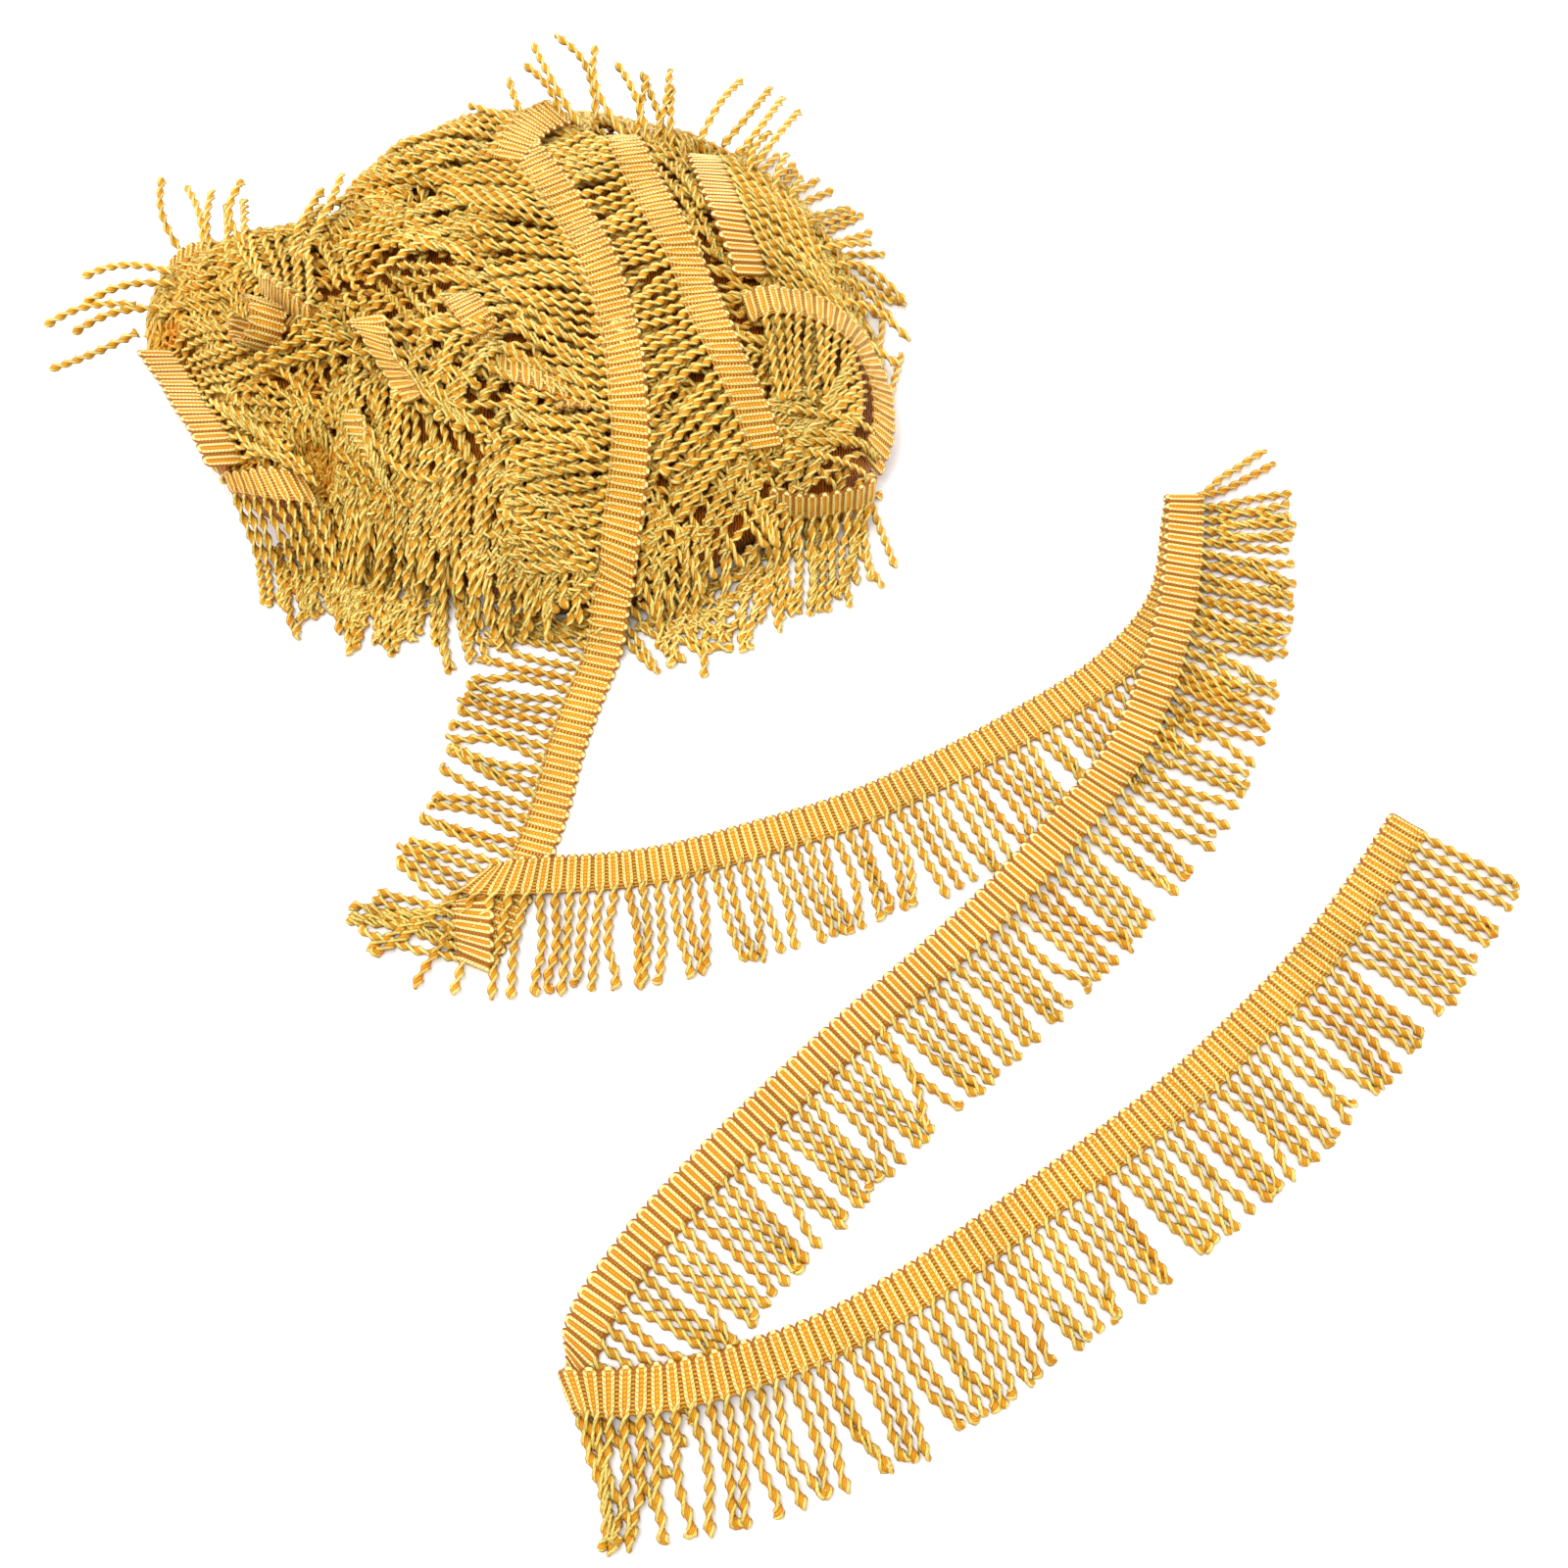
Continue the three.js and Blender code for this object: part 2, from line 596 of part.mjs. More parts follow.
const heading = loft([
  ...legRings([...onHeap, ...offHeap]),
  ...foldRings(FOLDS.foot, 1),
  ...legRings(legEdges(TURN, 14)),
  ...foldRings(FOLDS.corner, -1),
  ...legRings(legEdges(LEG_B, 14)),
  ...foldRings(FOLDS.far, 1),
  ...legRings(legEdges(LEG_C, 14)),
  ...foldRings(FOLDS.near, -1),
  ...legRings(legEdges(LEG_D, 14)),
]);
part.add(meshOf("tail_heading", heading, PALE_GOLD));

CORDED.forEach((corded, i) => {
  const solid = fringe(stripLine(corded), corded.cords, 40 * i);
  part.add(meshOf("tail_fringe_" + corded.leg, solid, GOLD));
});
part.add(meshOf("turn_fringe", fringe(stations(FAN, 5), FAN_CORDS, 300), GOLD));

Object.entries(RIM_FRINGE).forEach(([place, fan], i) => {
  const solid = fringe(rimLine(fan), fan.cords, 400 + 20 * i);
  part.add(meshOf("rim_fringe_" + place, solid, GOLD));
});
for (const { name, solid } of sprays) {
  part.add(meshOf(name, solid, GOLD));
}

export default part;
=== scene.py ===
# A length of gold tassel fringe: a woven heading with a row of looped, twisted cords along one edge.
# Most of it lies loosely wound in a low heap of two lobes, and the loose end runs out over the floor
# in four legs, folded over at each turn. The trim's sizes are in millimetres, and those of the view,
# the lamps and the floor in metres.
import bpy
import numpy as np
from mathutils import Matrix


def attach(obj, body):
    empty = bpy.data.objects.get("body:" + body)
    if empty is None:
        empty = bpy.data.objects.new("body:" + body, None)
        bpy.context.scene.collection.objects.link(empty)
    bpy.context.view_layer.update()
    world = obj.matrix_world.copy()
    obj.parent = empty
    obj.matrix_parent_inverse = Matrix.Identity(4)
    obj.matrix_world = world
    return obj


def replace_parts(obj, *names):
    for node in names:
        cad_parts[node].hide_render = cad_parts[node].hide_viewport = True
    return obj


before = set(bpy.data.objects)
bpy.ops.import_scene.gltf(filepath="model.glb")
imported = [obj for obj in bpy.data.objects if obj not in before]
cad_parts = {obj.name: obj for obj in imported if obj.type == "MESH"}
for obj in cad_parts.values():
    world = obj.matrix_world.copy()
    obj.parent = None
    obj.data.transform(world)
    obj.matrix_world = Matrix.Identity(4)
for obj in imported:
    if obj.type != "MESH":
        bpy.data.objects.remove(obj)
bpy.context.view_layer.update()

# The view: the trim lies on the floor and is seen from the front and well above, with no tilt to
# either side. The floor is a plain white board, lit by a bright room and large soft panels.


def put_in_scene(name, data):
    """An object of this name that shows the given camera, lamp or mesh."""
    made = bpy.data.objects.new(name, data)
    bpy.context.scene.collection.objects.link(made)
    return made


view = put_in_scene("view", bpy.data.cameras.new("view"))
view.data.sensor_width = 36
view.data.lens = 38.25
view.data.clip_start = 0.01
view.location = (0.110, -0.51186, 0.62916)
view.rotation_euler = (np.radians(26), 0, 0)
bpy.context.scene.camera = view
bpy.context.scene.view_settings.view_transform = "Standard"

room = bpy.data.worlds.new("bright_room")
room.use_nodes = True
air = room.node_tree.nodes["Background"].inputs
air["Color"].default_value = (1, 0.99, 0.97, 1)
air["Strength"].default_value = 0.42
bpy.context.scene.world = room

# Each soft panel is its place, its two sides and its power in watts, and faces the trim.
TRIM_MIDDLE = (0.1, -0.15, 0.0)
PANELS = {
    "panel_above": ((-0.25, 0.1, 1.5), (1.1, 0.8), 9),
    "panel_front": ((-0.05, -0.6, 1.35), (0.9, 0.5), 11.5),
    "panel_left": ((-1.3, -0.3, 0.55), (1.2, 0.5), 12),
    "panel_right": ((1.5, -0.3, 0.55), (1.2, 0.5), 12),
    "panel_back": ((0.1, 1.2, 0.6), (1.6, 0.5), 9),
}
for name, (place, size, power) in PANELS.items():
    lamp = bpy.data.lights.new(name, "AREA")
    lamp.shape = "RECTANGLE"
    lamp.size, lamp.size_y = size
    lamp.energy = power
    panel = put_in_scene(name, lamp)
    panel.location = place
    toward = np.array(TRIM_MIDDLE) - place
    panel.rotation_euler = (np.arccos(-toward[2] / np.linalg.norm(toward)), 0,
                            np.arctan2(toward[1], toward[0]) - np.pi / 2)



def new_finish(name):
    """A material with its own shader, whose colour is still to be set."""
    finish = bpy.data.materials.new(name)
    finish.use_nodes = True
    return finish


FLOOR_REACH = 1.8
corners = FLOOR_REACH * np.array(((-1, -1, 0), (1, -1, 0), (1, 1, 0), (-1, 1, 0))) + (0.1, -0.2, 0)
floor_mesh = bpy.data.meshes.new("floor")
floor_mesh.from_pydata(corners.tolist(), [], [(0, 1, 2, 3)])
floor = put_in_scene("floor", floor_mesh)
board = new_finish("white_board")
paint = board.node_tree.nodes["Principled BSDF"].inputs
paint["Base Color"].default_value = (0.93, 0.93, 0.925, 1)
paint["Roughness"].default_value = 0.8
floor_mesh.materials.append(board)

# The heap's core: the inner windings of the trim, seen only between the cords on top and coloured
# dark gold there as painted shade. The heap has two flat-topped lobes, steep at the rim, and its core
# stays ten millimetres under its top. RIM is the heap's foot, as a bearing in degrees and a distance
# from the heap's middle.
HEAP_X = -55
HEAP_Y = 10
RIM = np.array([
    (-180, 134), (-165, 118), (-150, 115), (-135, 112), (-120, 105), (-105, 101), (-90, 106),
    (-75, 130), (-62, 155), (-50, 170), (-38, 179), (-27, 196), (-18, 217), (-8, 219), (5, 204),
    (20, 202), (40, 190), (60, 175), (80, 153), (100, 130), (115, 101), (130, 82), (145, 98),
    (157, 138), (170, 141)])
LOBES = ((15, 5, 190, 178, 59), (-142, 12, 86, 118, 43))
RIM_WALL = 6
CORE_UNDER = 10
CORE_SHARE = 0.965
CORE_LEAST = 2.0


def rim_out(bearing):
    """Distance of the rim from the heap's middle: a cubic through the four nearest rows of RIM."""
    bearing = (np.asarray(bearing) + 180) % 360 - 180
    count = len(RIM)
    i = np.searchsorted(RIM[:, 0], bearing, side="right") - 1
    start, end = RIM[i, 0], np.where(i + 1 < count, RIM[(i + 1) % count, 0], 180)
    a, b, c, d = (RIM[(i + k) % count, 1] for k in (-1, 0, 1, 2))
    t = (bearing - start) / (end - start)
    return b + 0.5 * t * (c - a + t * (2 * a - 5 * b + 4 * c - d + t * (3 * (b - c) + d - a)))


def rim_share(x, y):
    """How far out a point lies: its distance from the heap's middle over the rim's, 1 on the rim."""
    away_x, away_y = x - HEAP_X, y - HEAP_Y
    return np.hypot(away_x, away_y) / rim_out(np.degrees(np.arctan2(away_y, away_x)))


def place_at(bearing, out):
    """The x and y of a point on a bearing, at a distance out from the heap's middle."""
    return (HEAP_X + out * np.cos(np.radians(bearing)),
            HEAP_Y + out * np.sin(np.radians(bearing)))


def heap_top(x, y):
    """Height of the wound heap: the fourth root of the two lobes' fourth powers, with lumps made of
    sines. Towards the rim it falls as the root of one less the fifth power of the share of the way
    out. Each lobe is its middle, its two half widths and its height."""
    tall = 0
    for lobe_x, lobe_y, half_x, half_y, height in LOBES:
        flat = 1 - abs((x - lobe_x) / half_x) ** 3 - abs((y - lobe_y) / half_y) ** 3
        tall = tall + (height * np.sqrt(np.clip(flat, 0, 1))) ** 4
    lumps = (1.6 * np.sin(x / 7.1 + 1.3 * np.sin(y / 19)) * np.sin(y / 8.3 + 0.9 * np.sin(x / 17))
             + 1.5 * np.sin(x / 15.7 - y / 12.9 + 0.8))
    edge = np.sqrt(1 - np.minimum(1, rim_share(x, y)) ** 5)
    return RIM_WALL + (tall ** 0.25 + lumps) * edge


def grid_piece(name, points, uv, material, dye_and_shade=None):
    """One mesh from tubes of points: points[tube, ring, place round the ring]. Each quad joins two
    neighbours on a ring with the same two on the next ring, and a many-sided face closes each end.
    uv is (round, along) for each point of each tube, and the seam repeats the first place at 1.
    The last argument is one value for each point, kept on the mesh for the cords' dye and painted shade."""
    tubes, rings, places = points.shape[:3]
    place = np.arange(places)
    first = (np.arange(tubes)[:, None, None] * rings + np.arange(rings - 1)[:, None]) * places + place
    beside = first - place + (place + 1) % places
    quads = np.stack([first, beside, beside + places, first + places], -1).reshape(-1, 4)
    round_0, along = uv
    round_0 = np.broadcast_to(round_0, points.shape[:3])
    along = np.broadcast_to(along, points.shape[:3])
    round_1 = np.concatenate([round_0[..., 1:], np.ones_like(round_0[..., :1])], -1)
    round_1 = np.where(round_1 < round_0 - 0.5, 1.0, round_1)
    along_1 = np.concatenate([along[..., 1:], along[..., :1]], -1)
    u = np.stack([round_0[:, :-1], round_1[:, :-1], round_1[:, 1:], round_0[:, 1:]], -1)
    v = np.stack([along[:, :-1], along_1[:, :-1], along_1[:, 1:], along[:, 1:]], -1)
    ends = np.arange(tubes)[:, None] * rings * places
    lids = np.concatenate([ends + place[::-1], ends + (rings - 1) * places + place])
    loops = np.concatenate([quads.ravel(), lids.ravel()])
    starts = np.append(np.arange(len(quads)) * 4, len(quads) * 4 + np.arange(len(lids)) * places)
    uvs = np.concatenate([
        np.stack([u.ravel(), v.ravel()], -1),
        np.stack([round_0[:, 0, ::-1].ravel(), along[:, 0, ::-1].ravel()], -1),
        np.stack([round_0[:, -1].ravel(), along[:, -1].ravel()], -1)])
    mesh = bpy.data.meshes.new(name)
    mesh.vertices.add(points.size // 3)
    mesh.vertices.foreach_set("co", (points.reshape(-1) * 0.001).astype(np.float32))
    mesh.loops.add(len(loops))
    mesh.loops.foreach_set("vertex_index", loops.astype(np.int32))
    mesh.polygons.add(len(starts))
    mesh.polygons.foreach_set("loop_start", starts.astype(np.int32))
    mesh.update(calc_edges=True)
    mesh.validate()
    mesh.polygons.foreach_set("use_smooth", np.ones(len(mesh.polygons), dtype=bool))
    mesh.uv_layers.new(name="yarn").data.foreach_set("uv", uvs.astype(np.float32).ravel())
    if dye_and_shade is not None:
        shade = mesh.attributes.new("dye_and_shade", "FLOAT", "POINT")
        dye_and_shade = np.broadcast_to(dye_and_shade, points.shape[:3]).astype(np.float32)
        shade.data.foreach_set("value", dye_and_shade.ravel())
    mesh.materials.append(material)
    piece = put_in_scene(name, mesh)
    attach(piece, "root")
    return piece


def feed(tree, socket, value):
    """Joins a node's output to a socket, or sets the socket to a number or a colour."""
    if isinstance(value, bpy.types.NodeSocket):
        tree.links.new(value, socket)
    else:
        socket.default_value = (*value, 1) if isinstance(value, tuple) else value


def value_node(tree, kind, *inputs, **settings):
    """A shader node of one kind with its first inputs joined to nodes' outputs or set to numbers."""
    made = tree.nodes.new(kind)
    for key, value in settings.items():
        setattr(made, key, value)
    for socket, value in zip(made.inputs, inputs):
        feed(tree, socket, value)
    return made.outputs[0]


def sums(tree, operation, *inputs):
    """One Math node."""
    return value_node(tree, "ShaderNodeMath", *inputs, operation=operation)


def eased(tree, share, start, end, low, high):
    """A value that runs evenly from low to high while share runs from start to end."""
    return value_node(tree, "ShaderNodeMapRange", share, start, end, low, high)


def blend_colours(tree, share, low, high, way="MIX"):
    """Colour low turned into colour high by share, each a colour or a node's output."""
    made = tree.nodes.new("ShaderNodeMix")
    made.data_type, made.blend_type = "RGBA", way
    for place, value in ((0, share), (6, low), (7, high)):
        feed(tree, made.inputs[place], value)
    return made.outputs[2]


def colour_ramp(tree, share, stops):
    """Colours from one stop to the next, each stop a place from 0 to 1 and a colour."""
    made = tree.nodes.new("ShaderNodeValToRGB")
    ramp = made.color_ramp
    while len(ramp.elements) < len(stops):
        ramp.elements.new(0.5)
    for element, (place, colour) in zip(ramp.elements, stops):
        element.position = place
        element.color = (*colour, 1)
    tree.links.new(share, made.inputs[0])
    return made.outputs[0]


def finish_yarn(material, colour, height, depth, rough, sheen):
    """Glossy rayon: the yarn's colour varies softly over the trim, and fine threads stand as bump."""
    tree = material.node_tree
    shader = tree.nodes["Principled BSDF"]
    spot = tree.nodes.new("ShaderNodeTexCoord").outputs["Object"]
    broad = value_node(tree, "ShaderNodeTexNoise", spot, noise_dimensions="3D")
    tree.nodes[-1].inputs["Scale"].default_value = 45
    tree.nodes[-1].inputs["Detail"].default_value = 3
    dyed = eased(tree, broad, 0.3, 0.7, 0.86, 1.1)
    tint = value_node(tree, "ShaderNodeCombineColor", dyed, dyed, dyed)
    colour = blend_colours(tree, 1.0, colour, tint, "MULTIPLY")
    tree.links.new(colour, shader.inputs["Base Color"])
    bump = tree.nodes.new("ShaderNodeBump")
    bump.inputs["Strength"].default_value = 0.6
    bump.inputs["Distance"].default_value = depth
    tree.links.new(height, bump.inputs["Height"])
    tree.links.new(bump.outputs[0], shader.inputs["Normal"])
    shader.inputs["Roughness"].default_value = rough
    shader.inputs["Sheen Weight"].default_value = sheen
    shader.inputs["Sheen Roughness"].default_value = 0.35
    shader.inputs["Sheen Tint"].default_value = (1, 0.75, 0.25, 1)
    shader.inputs["Specular Tint"].default_value = (1, 0.74, 0.3, 1)


# The core's own surface runs from the heap's middle out nearly to the rim, and straight down from
# there to the floor.
core_yarn = new_finish("core_windings")
tree = core_yarn.node_tree
spot = tree.nodes.new("ShaderNodeTexCoord").outputs["Object"]
strands = value_node(tree, "ShaderNodeTexWave", spot, 260.0, 6.0, 2.0)
# Painted shade: the core's banded windings run from near black to deep orange, far darker than the yarn, as
# they show only in shade.
core_colour_and_shade = colour_ramp(tree, strands, ((0.1, (0.16, 0.020, 0.0008)), (0.55, (0.40, 0.08, 0.003)),
                                          (1.0, (0.62, 0.20, 0.008))))
finish_yarn(core_yarn, core_colour_and_shade, strands, 0.001, 0.6, 0.2)

bearings = np.arange(0, 360, 2.5)
shares = np.sqrt(np.linspace(0.004, 1, 34))
core_x, core_y = place_at(bearings, rim_out(bearings)[None] * shares[:, None] * CORE_SHARE)
core_z = np.maximum(heap_top(core_x, core_y) - CORE_UNDER, CORE_LEAST)
foot = np.stack([core_x[-1], core_y[-1], np.zeros_like(core_x[-1])], -1)
core = np.stack([core_x, core_y, core_z], -1)[::-1]
core = np.concatenate([foot[None], core])[None]
heap_core = grid_piece("heap_core", core, (bearings / 360, np.arange(len(core[0]))[:, None] / 40),
                       core_yarn)
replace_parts(heap_core, "wound_heap")

# The heading: a narrow tape woven with thick filling yarns that turn back at its far edge in a row of
# small scallops. Each scallop is one hairpin of covered gold yarn, whose ridges carry a painted
# highlight, and from its foot the next cord is twisted. Rows of fine warp cross the hairpins on the
# face, and the back shows them smooth.
# HAIRPIN is half its width, which DRAWN_IN narrows at the corded edge, and it turns back at TURN_AT
# from the scalloped edge. The tape is worked out in COLUMNS sections for each scallop, and the yarn's
# own map counts to 1 over YARN_MAP of the width.
HEADING_WIDTH = 16
SCALLOP = 5.7
COLUMNS = 8
HAIRPIN = 1.45
DRAWN_IN = 0.6
TURN_AT = 2.0
WARP_PITCH = 1.45
BEAD_PITCH = 1.5
YARN_MAP = 40
TAPE_LIE = 1.4


def compass(degrees):
    """The level unit vector at an azimuth."""
    turn = np.radians(degrees)
    return np.stack([np.cos(turn), np.sin(turn), np.zeros_like(turn)], -1)


def unit(v):
    """Each vector over its own length."""
    return v / np.maximum(np.linalg.norm(v, axis=-1, keepdims=True), 1e-9)


def lengths_along(points):
    """How far each point lies from the first, along the straight lines between them."""
    return np.append(0, np.cumsum(np.linalg.norm(np.diff(points, axis=0), axis=1)))


def smooth_rows(knots, rows, at):
    """Rows between the given ones: on each span a cubic through both ends, whose slopes are those of
    the parabolas through a row and its two neighbours."""
    span = np.diff(knots)[:, None]
    rise = np.diff(rows, axis=0) / span
    inner = (rise[:-1] * span[1:] + rise[1:] * span[:-1]) / (span[1:] + span[:-1])
    slope = np.concatenate([rise[:1], inner, rise[-1:]])
    i = np.clip(np.searchsorted(knots, at, side="right") - 1, 0, len(knots) - 2)
    h = span[i]
    t = (at[:, None] - knots[i][:, None]) / h
    a, b = rows[i], rows[i + 1]
    return ((1 + 2 * t) * (1 - t) ** 2 * a + t * (1 - t) ** 2 * h * slope[i]
            + t * t * (3 - 2 * t) * b + t * t * (t - 1) * h * slope[i + 1])


def leg_sections(rows):
    """Sections of a level or nearly level run from its middles, undersides and ways across: the two
    edges, raised by the tape's own lie, and the normal of the face, which is the way across crossed
    with the way along."""
    middle = rows[:, :3] + (0, 0, TAPE_LIE)
    half = compass(rows[:, 3]) * HEADING_WIDTH / 2
    before, after = np.roll(middle, 1, 0), np.roll(middle, -1, 0)
    before[0], after[-1] = middle[0], middle[-1]
    return np.hstack([middle - half, middle + half, unit(np.cross(half, after - before))])


def heap_sections(rows, lift, dip=0):
    """Sections of a run on the heap: middles are set every 6 mm on a smooth curve through the rows,
    and each edge follows the heap's top at a lift. dip sinks the run's two ends."""
    knots = np.append(0, np.cumsum(np.hypot(*np.diff(rows[:, :2], axis=0).T)))
    at = np.linspace(0, knots[-1], int(knots[-1] / 6) + 2)
    rows = smooth_rows(knots, rows, at)
    half = compass(rows[:, 2]) * HEADING_WIDTH / 2
    middle = np.column_stack([rows[:, :2], np.zeros(len(rows))])
    sections = []
    for edge in (middle - half, middle + half):
        edge = edge.copy()
        edge[:, 2] = heap_top(edge[:, 0], edge[:, 1]) + lift
        edge[1:-1, 2] = (edge[:-2, 2] + 2 * edge[1:-1, 2] + edge[2:, 2]) / 4
        ends = np.minimum(at, knots[-1] - at)
        edge[:, 2] -= dip * np.clip(1 - ends / 12, 0, 1) ** 2
        sections.append(edge)
    low, high = sections
    return np.hstack([low, high, unit(np.cross(high - low, np.gradient((low + high) / 2, axis=0)))])


def even_course(sections):
    """The same sections set evenly, COLUMNS to a scallop, by length along the heading's middle on a
    smooth curve. Also returns how far along the middle each given section lies."""
    knots = lengths_along((sections[:, :3] + sections[:, 3:6]) / 2)
    fine = np.linspace(0, knots[-1], int(knots[-1] / 0.2))
    course = smooth_rows(knots, sections, fine)
    arc = lengths_along((course[:, :3] + course[:, 3:6]) / 2)
    scallops = int(arc[-1] / SCALLOP)
    at = np.interp(np.arange(scallops * COLUMNS + 1) * SCALLOP / COLUMNS, arc, fine)
    course = smooth_rows(knots, sections, at)
    return course, np.interp(knots, fine, arc)


def woven_points(course, first):
    """Points of the heading from its even course. On each section x is the distance along from the
    scallop's middle and y the distance from the scalloped edge. A hairpin is a ridge at a set
    distance from the line x = 0, closed by a half circle at the scalloped edge and drawn to a point
    at the corded one. Ridges and warp stand up from a thin sheet as bell curves and waves."""
    low, high, normal = course[:, None, :3], course[:, None, 3:6], unit(course[:, None, 6:])
    across = unit(high - low)
    face = np.linspace(0, 1, 17)
    face = HEADING_WIDTH * (face - 0.06 * np.sin(2 * np.pi * face))
    y = np.concatenate([face, face[::-2][:9]])
    back = np.arange(len(y)) >= len(face)
    x = ((np.arange(len(course)) + first) / COLUMNS % 1 - 0.5)[:, None] * SCALLOP
    wide = HAIRPIN - DRAWN_IN * np.clip((y - 12) / 4, 0, 1) ** 2
    ridge = abs(np.hypot(x, np.maximum(TURN_AT - y, 0)) - wide)
    relief = 0.85 * np.exp(-(ridge / 0.6) ** 2)
    inside = abs(x) < wide
    warp = np.cos(2 * np.pi * y / WARP_PITCH + np.pi * inside) * np.clip((y - 2.5) / 1.5, 0, 1)
    relief = relief + np.where(back, 0.06, 0.26) * warp * np.clip((15 - y) / 2, 0, 1)
    edge = np.clip(np.minimum(y, HEADING_WIDTH - y) / 1.3, 0, 1)
    thick = 0.3 + (0.2 + relief) * np.sqrt(1 - (1 - edge) ** 2)
    scallop = 2.2 * (np.sqrt(np.maximum(1 - (x / 2.9) ** 2, 0)) - 0.45) * np.clip(1 - y / 4, 0, 1)
    tooth = (0.9 - 1.1 * (abs(x) / 2.85) ** 1.3) * np.clip((y - 12) / 4, 0, 1) ** 2
    set_out = (y - scallop + tooth)[..., None]
    points = low + across * set_out + normal * (np.where(back, -1, 1) * thick)[..., None]
    return points, np.where(back, 1 - y / YARN_MAP, y / YARN_MAP)


def weave_heading(name, course, first=0):
    """One piece of heading, woven along an even course that starts at the section numbered first."""
    points, round_0 = woven_points(course, first)
    along = (np.arange(len(course)) + first)[:, None] / COLUMNS
    piece = grid_piece(name, points[None], (round_0, along), heading_yarn)
    return piece


def yarn_places(tree):
    """Where a point lies on the yarn's own map: its share round the piece, and its place along."""
    place = value_node(tree, "ShaderNodeUVMap", uv_map="yarn")
    apart = tree.nodes.new("ShaderNodeSeparateXYZ")
    tree.links.new(place, apart.inputs[0])
    return apart.outputs[0], apart.outputs[1]


heading_yarn = new_finish("woven_rayon_heading")
tree = heading_yarn.node_tree
round_at, along_at = yarn_places(tree)
face_side = sums(tree, "LESS_THAN", round_at, 0.5)
y_at = sums(tree, "MINIMUM", sums(tree, "MULTIPLY", sums(
    tree, "MINIMUM", round_at, sums(tree, "SUBTRACT", 1.0, round_at)), YARN_MAP), HEADING_WIDTH)
x_at = sums(tree, "MULTIPLY", sums(tree, "ABSOLUTE", sums(
    tree, "SUBTRACT", sums(tree, "FRACT", along_at), 0.5)), SCALLOP)
turn_out = sums(tree, "MAXIMUM", sums(tree, "SUBTRACT", TURN_AT, y_at), 0.0)
from_line = sums(tree, "SQRT", sums(tree, "ADD", sums(tree, "POWER", x_at, 2.0),
                                    sums(tree, "POWER", turn_out, 2.0)))
drawn_in = eased(tree, y_at, 12.5, HEADING_WIDTH, HAIRPIN, HAIRPIN - DRAWN_IN)
past_line = sums(tree, "SUBTRACT", from_line, drawn_in)
line_edge = sums(tree, "ABSOLUTE", past_line)
near_line = eased(tree, line_edge, 0.45, 0.7, 1.0, 0.0)
between = sums(tree, "GREATER_THAN", past_line, 0.0)
warp_turn = sums(tree, "MULTIPLY", y_at, 2 * np.pi / WARP_PITCH)
warp_wave = sums(tree, "SINE", sums(tree, "ADD", warp_turn, sums(tree, "MULTIPLY", between, np.pi)))
warp_rows = eased(tree, warp_wave, -0.2, 0.7, 0.0, 1.0)
warp_on = eased(tree, face_side, 0.0, 1.0, 0.25, 0.85)
core_warp = sums(tree, "MULTIPLY", warp_rows, warp_on)
bead_turn = sums(tree, "MULTIPLY", y_at, 2 * np.pi / BEAD_PITCH)
bead_wave = sums(tree, "SINE", sums(tree, "ADD", bead_turn, sums(tree, "MULTIPLY", past_line, 3.5)))
beads = eased(tree, bead_wave, -0.75, 0.1, eased(tree, face_side, 0.0, 1.0, 0.5, 0.1), 1.0)
near_line = sums(tree, "MULTIPLY", near_line, beads)
# Painted light on the heading: the pale along each hairpin's ridge is a painted highlight, and the darker
# colour in the recesses between warp rows and between hairpins is painted shade.
yarn_recess_shade = blend_colours(tree, between, (0.64, 0.22, 0.004), (0.26, 0.065, 0.002))
yarn_body = blend_colours(tree, core_warp, yarn_recess_shade, (0.78, 0.44, 0.035))
heading_colour = blend_colours(tree, near_line, yarn_body, (0.88, 0.79, 0.33))
from_outline = sums(tree, "ABSOLUTE", sums(tree, "SUBTRACT", line_edge, 0.76))
outline_shade = eased(tree, from_outline, 0.05, 0.2, 0.7, 0.0)
gap_shade = sums(tree, "MULTIPLY", eased(tree, past_line, 0.65, 0.9, 0.0, 1.0),
           eased(tree, y_at, 1.0, 6.0, 0.7, 0.0))
corded_edge_shade = eased(tree, y_at, 14.6, HEADING_WIDTH, 0.0, 0.5)
scallop_edge_shade = eased(tree, y_at, 0.0, 0.25, 0.4, 0.0)
# Painted shade: dark outlines along the ridges, the gaps between scallops, and darker strips at the corded
# and the scalloped edges.
for share, shadow in ((outline_shade, (0.32, 0.08, 0.002)), (gap_shade, (0.32, 0.08, 0.002)),
                      (corded_edge_shade, (0.36, 0.10, 0.004)), (scallop_edge_shade, (0.34, 0.16, 0.02))):
    heading_colour = blend_colours(tree, share, heading_colour, shadow)
heading_height = sums(tree, "ADD", sums(tree, "MULTIPLY", near_line, 0.6),
                      sums(tree, "MULTIPLY", core_warp, 0.4))
finish_yarn(heading_yarn, heading_colour, heading_height, 0.0005, 0.42, 0.15)

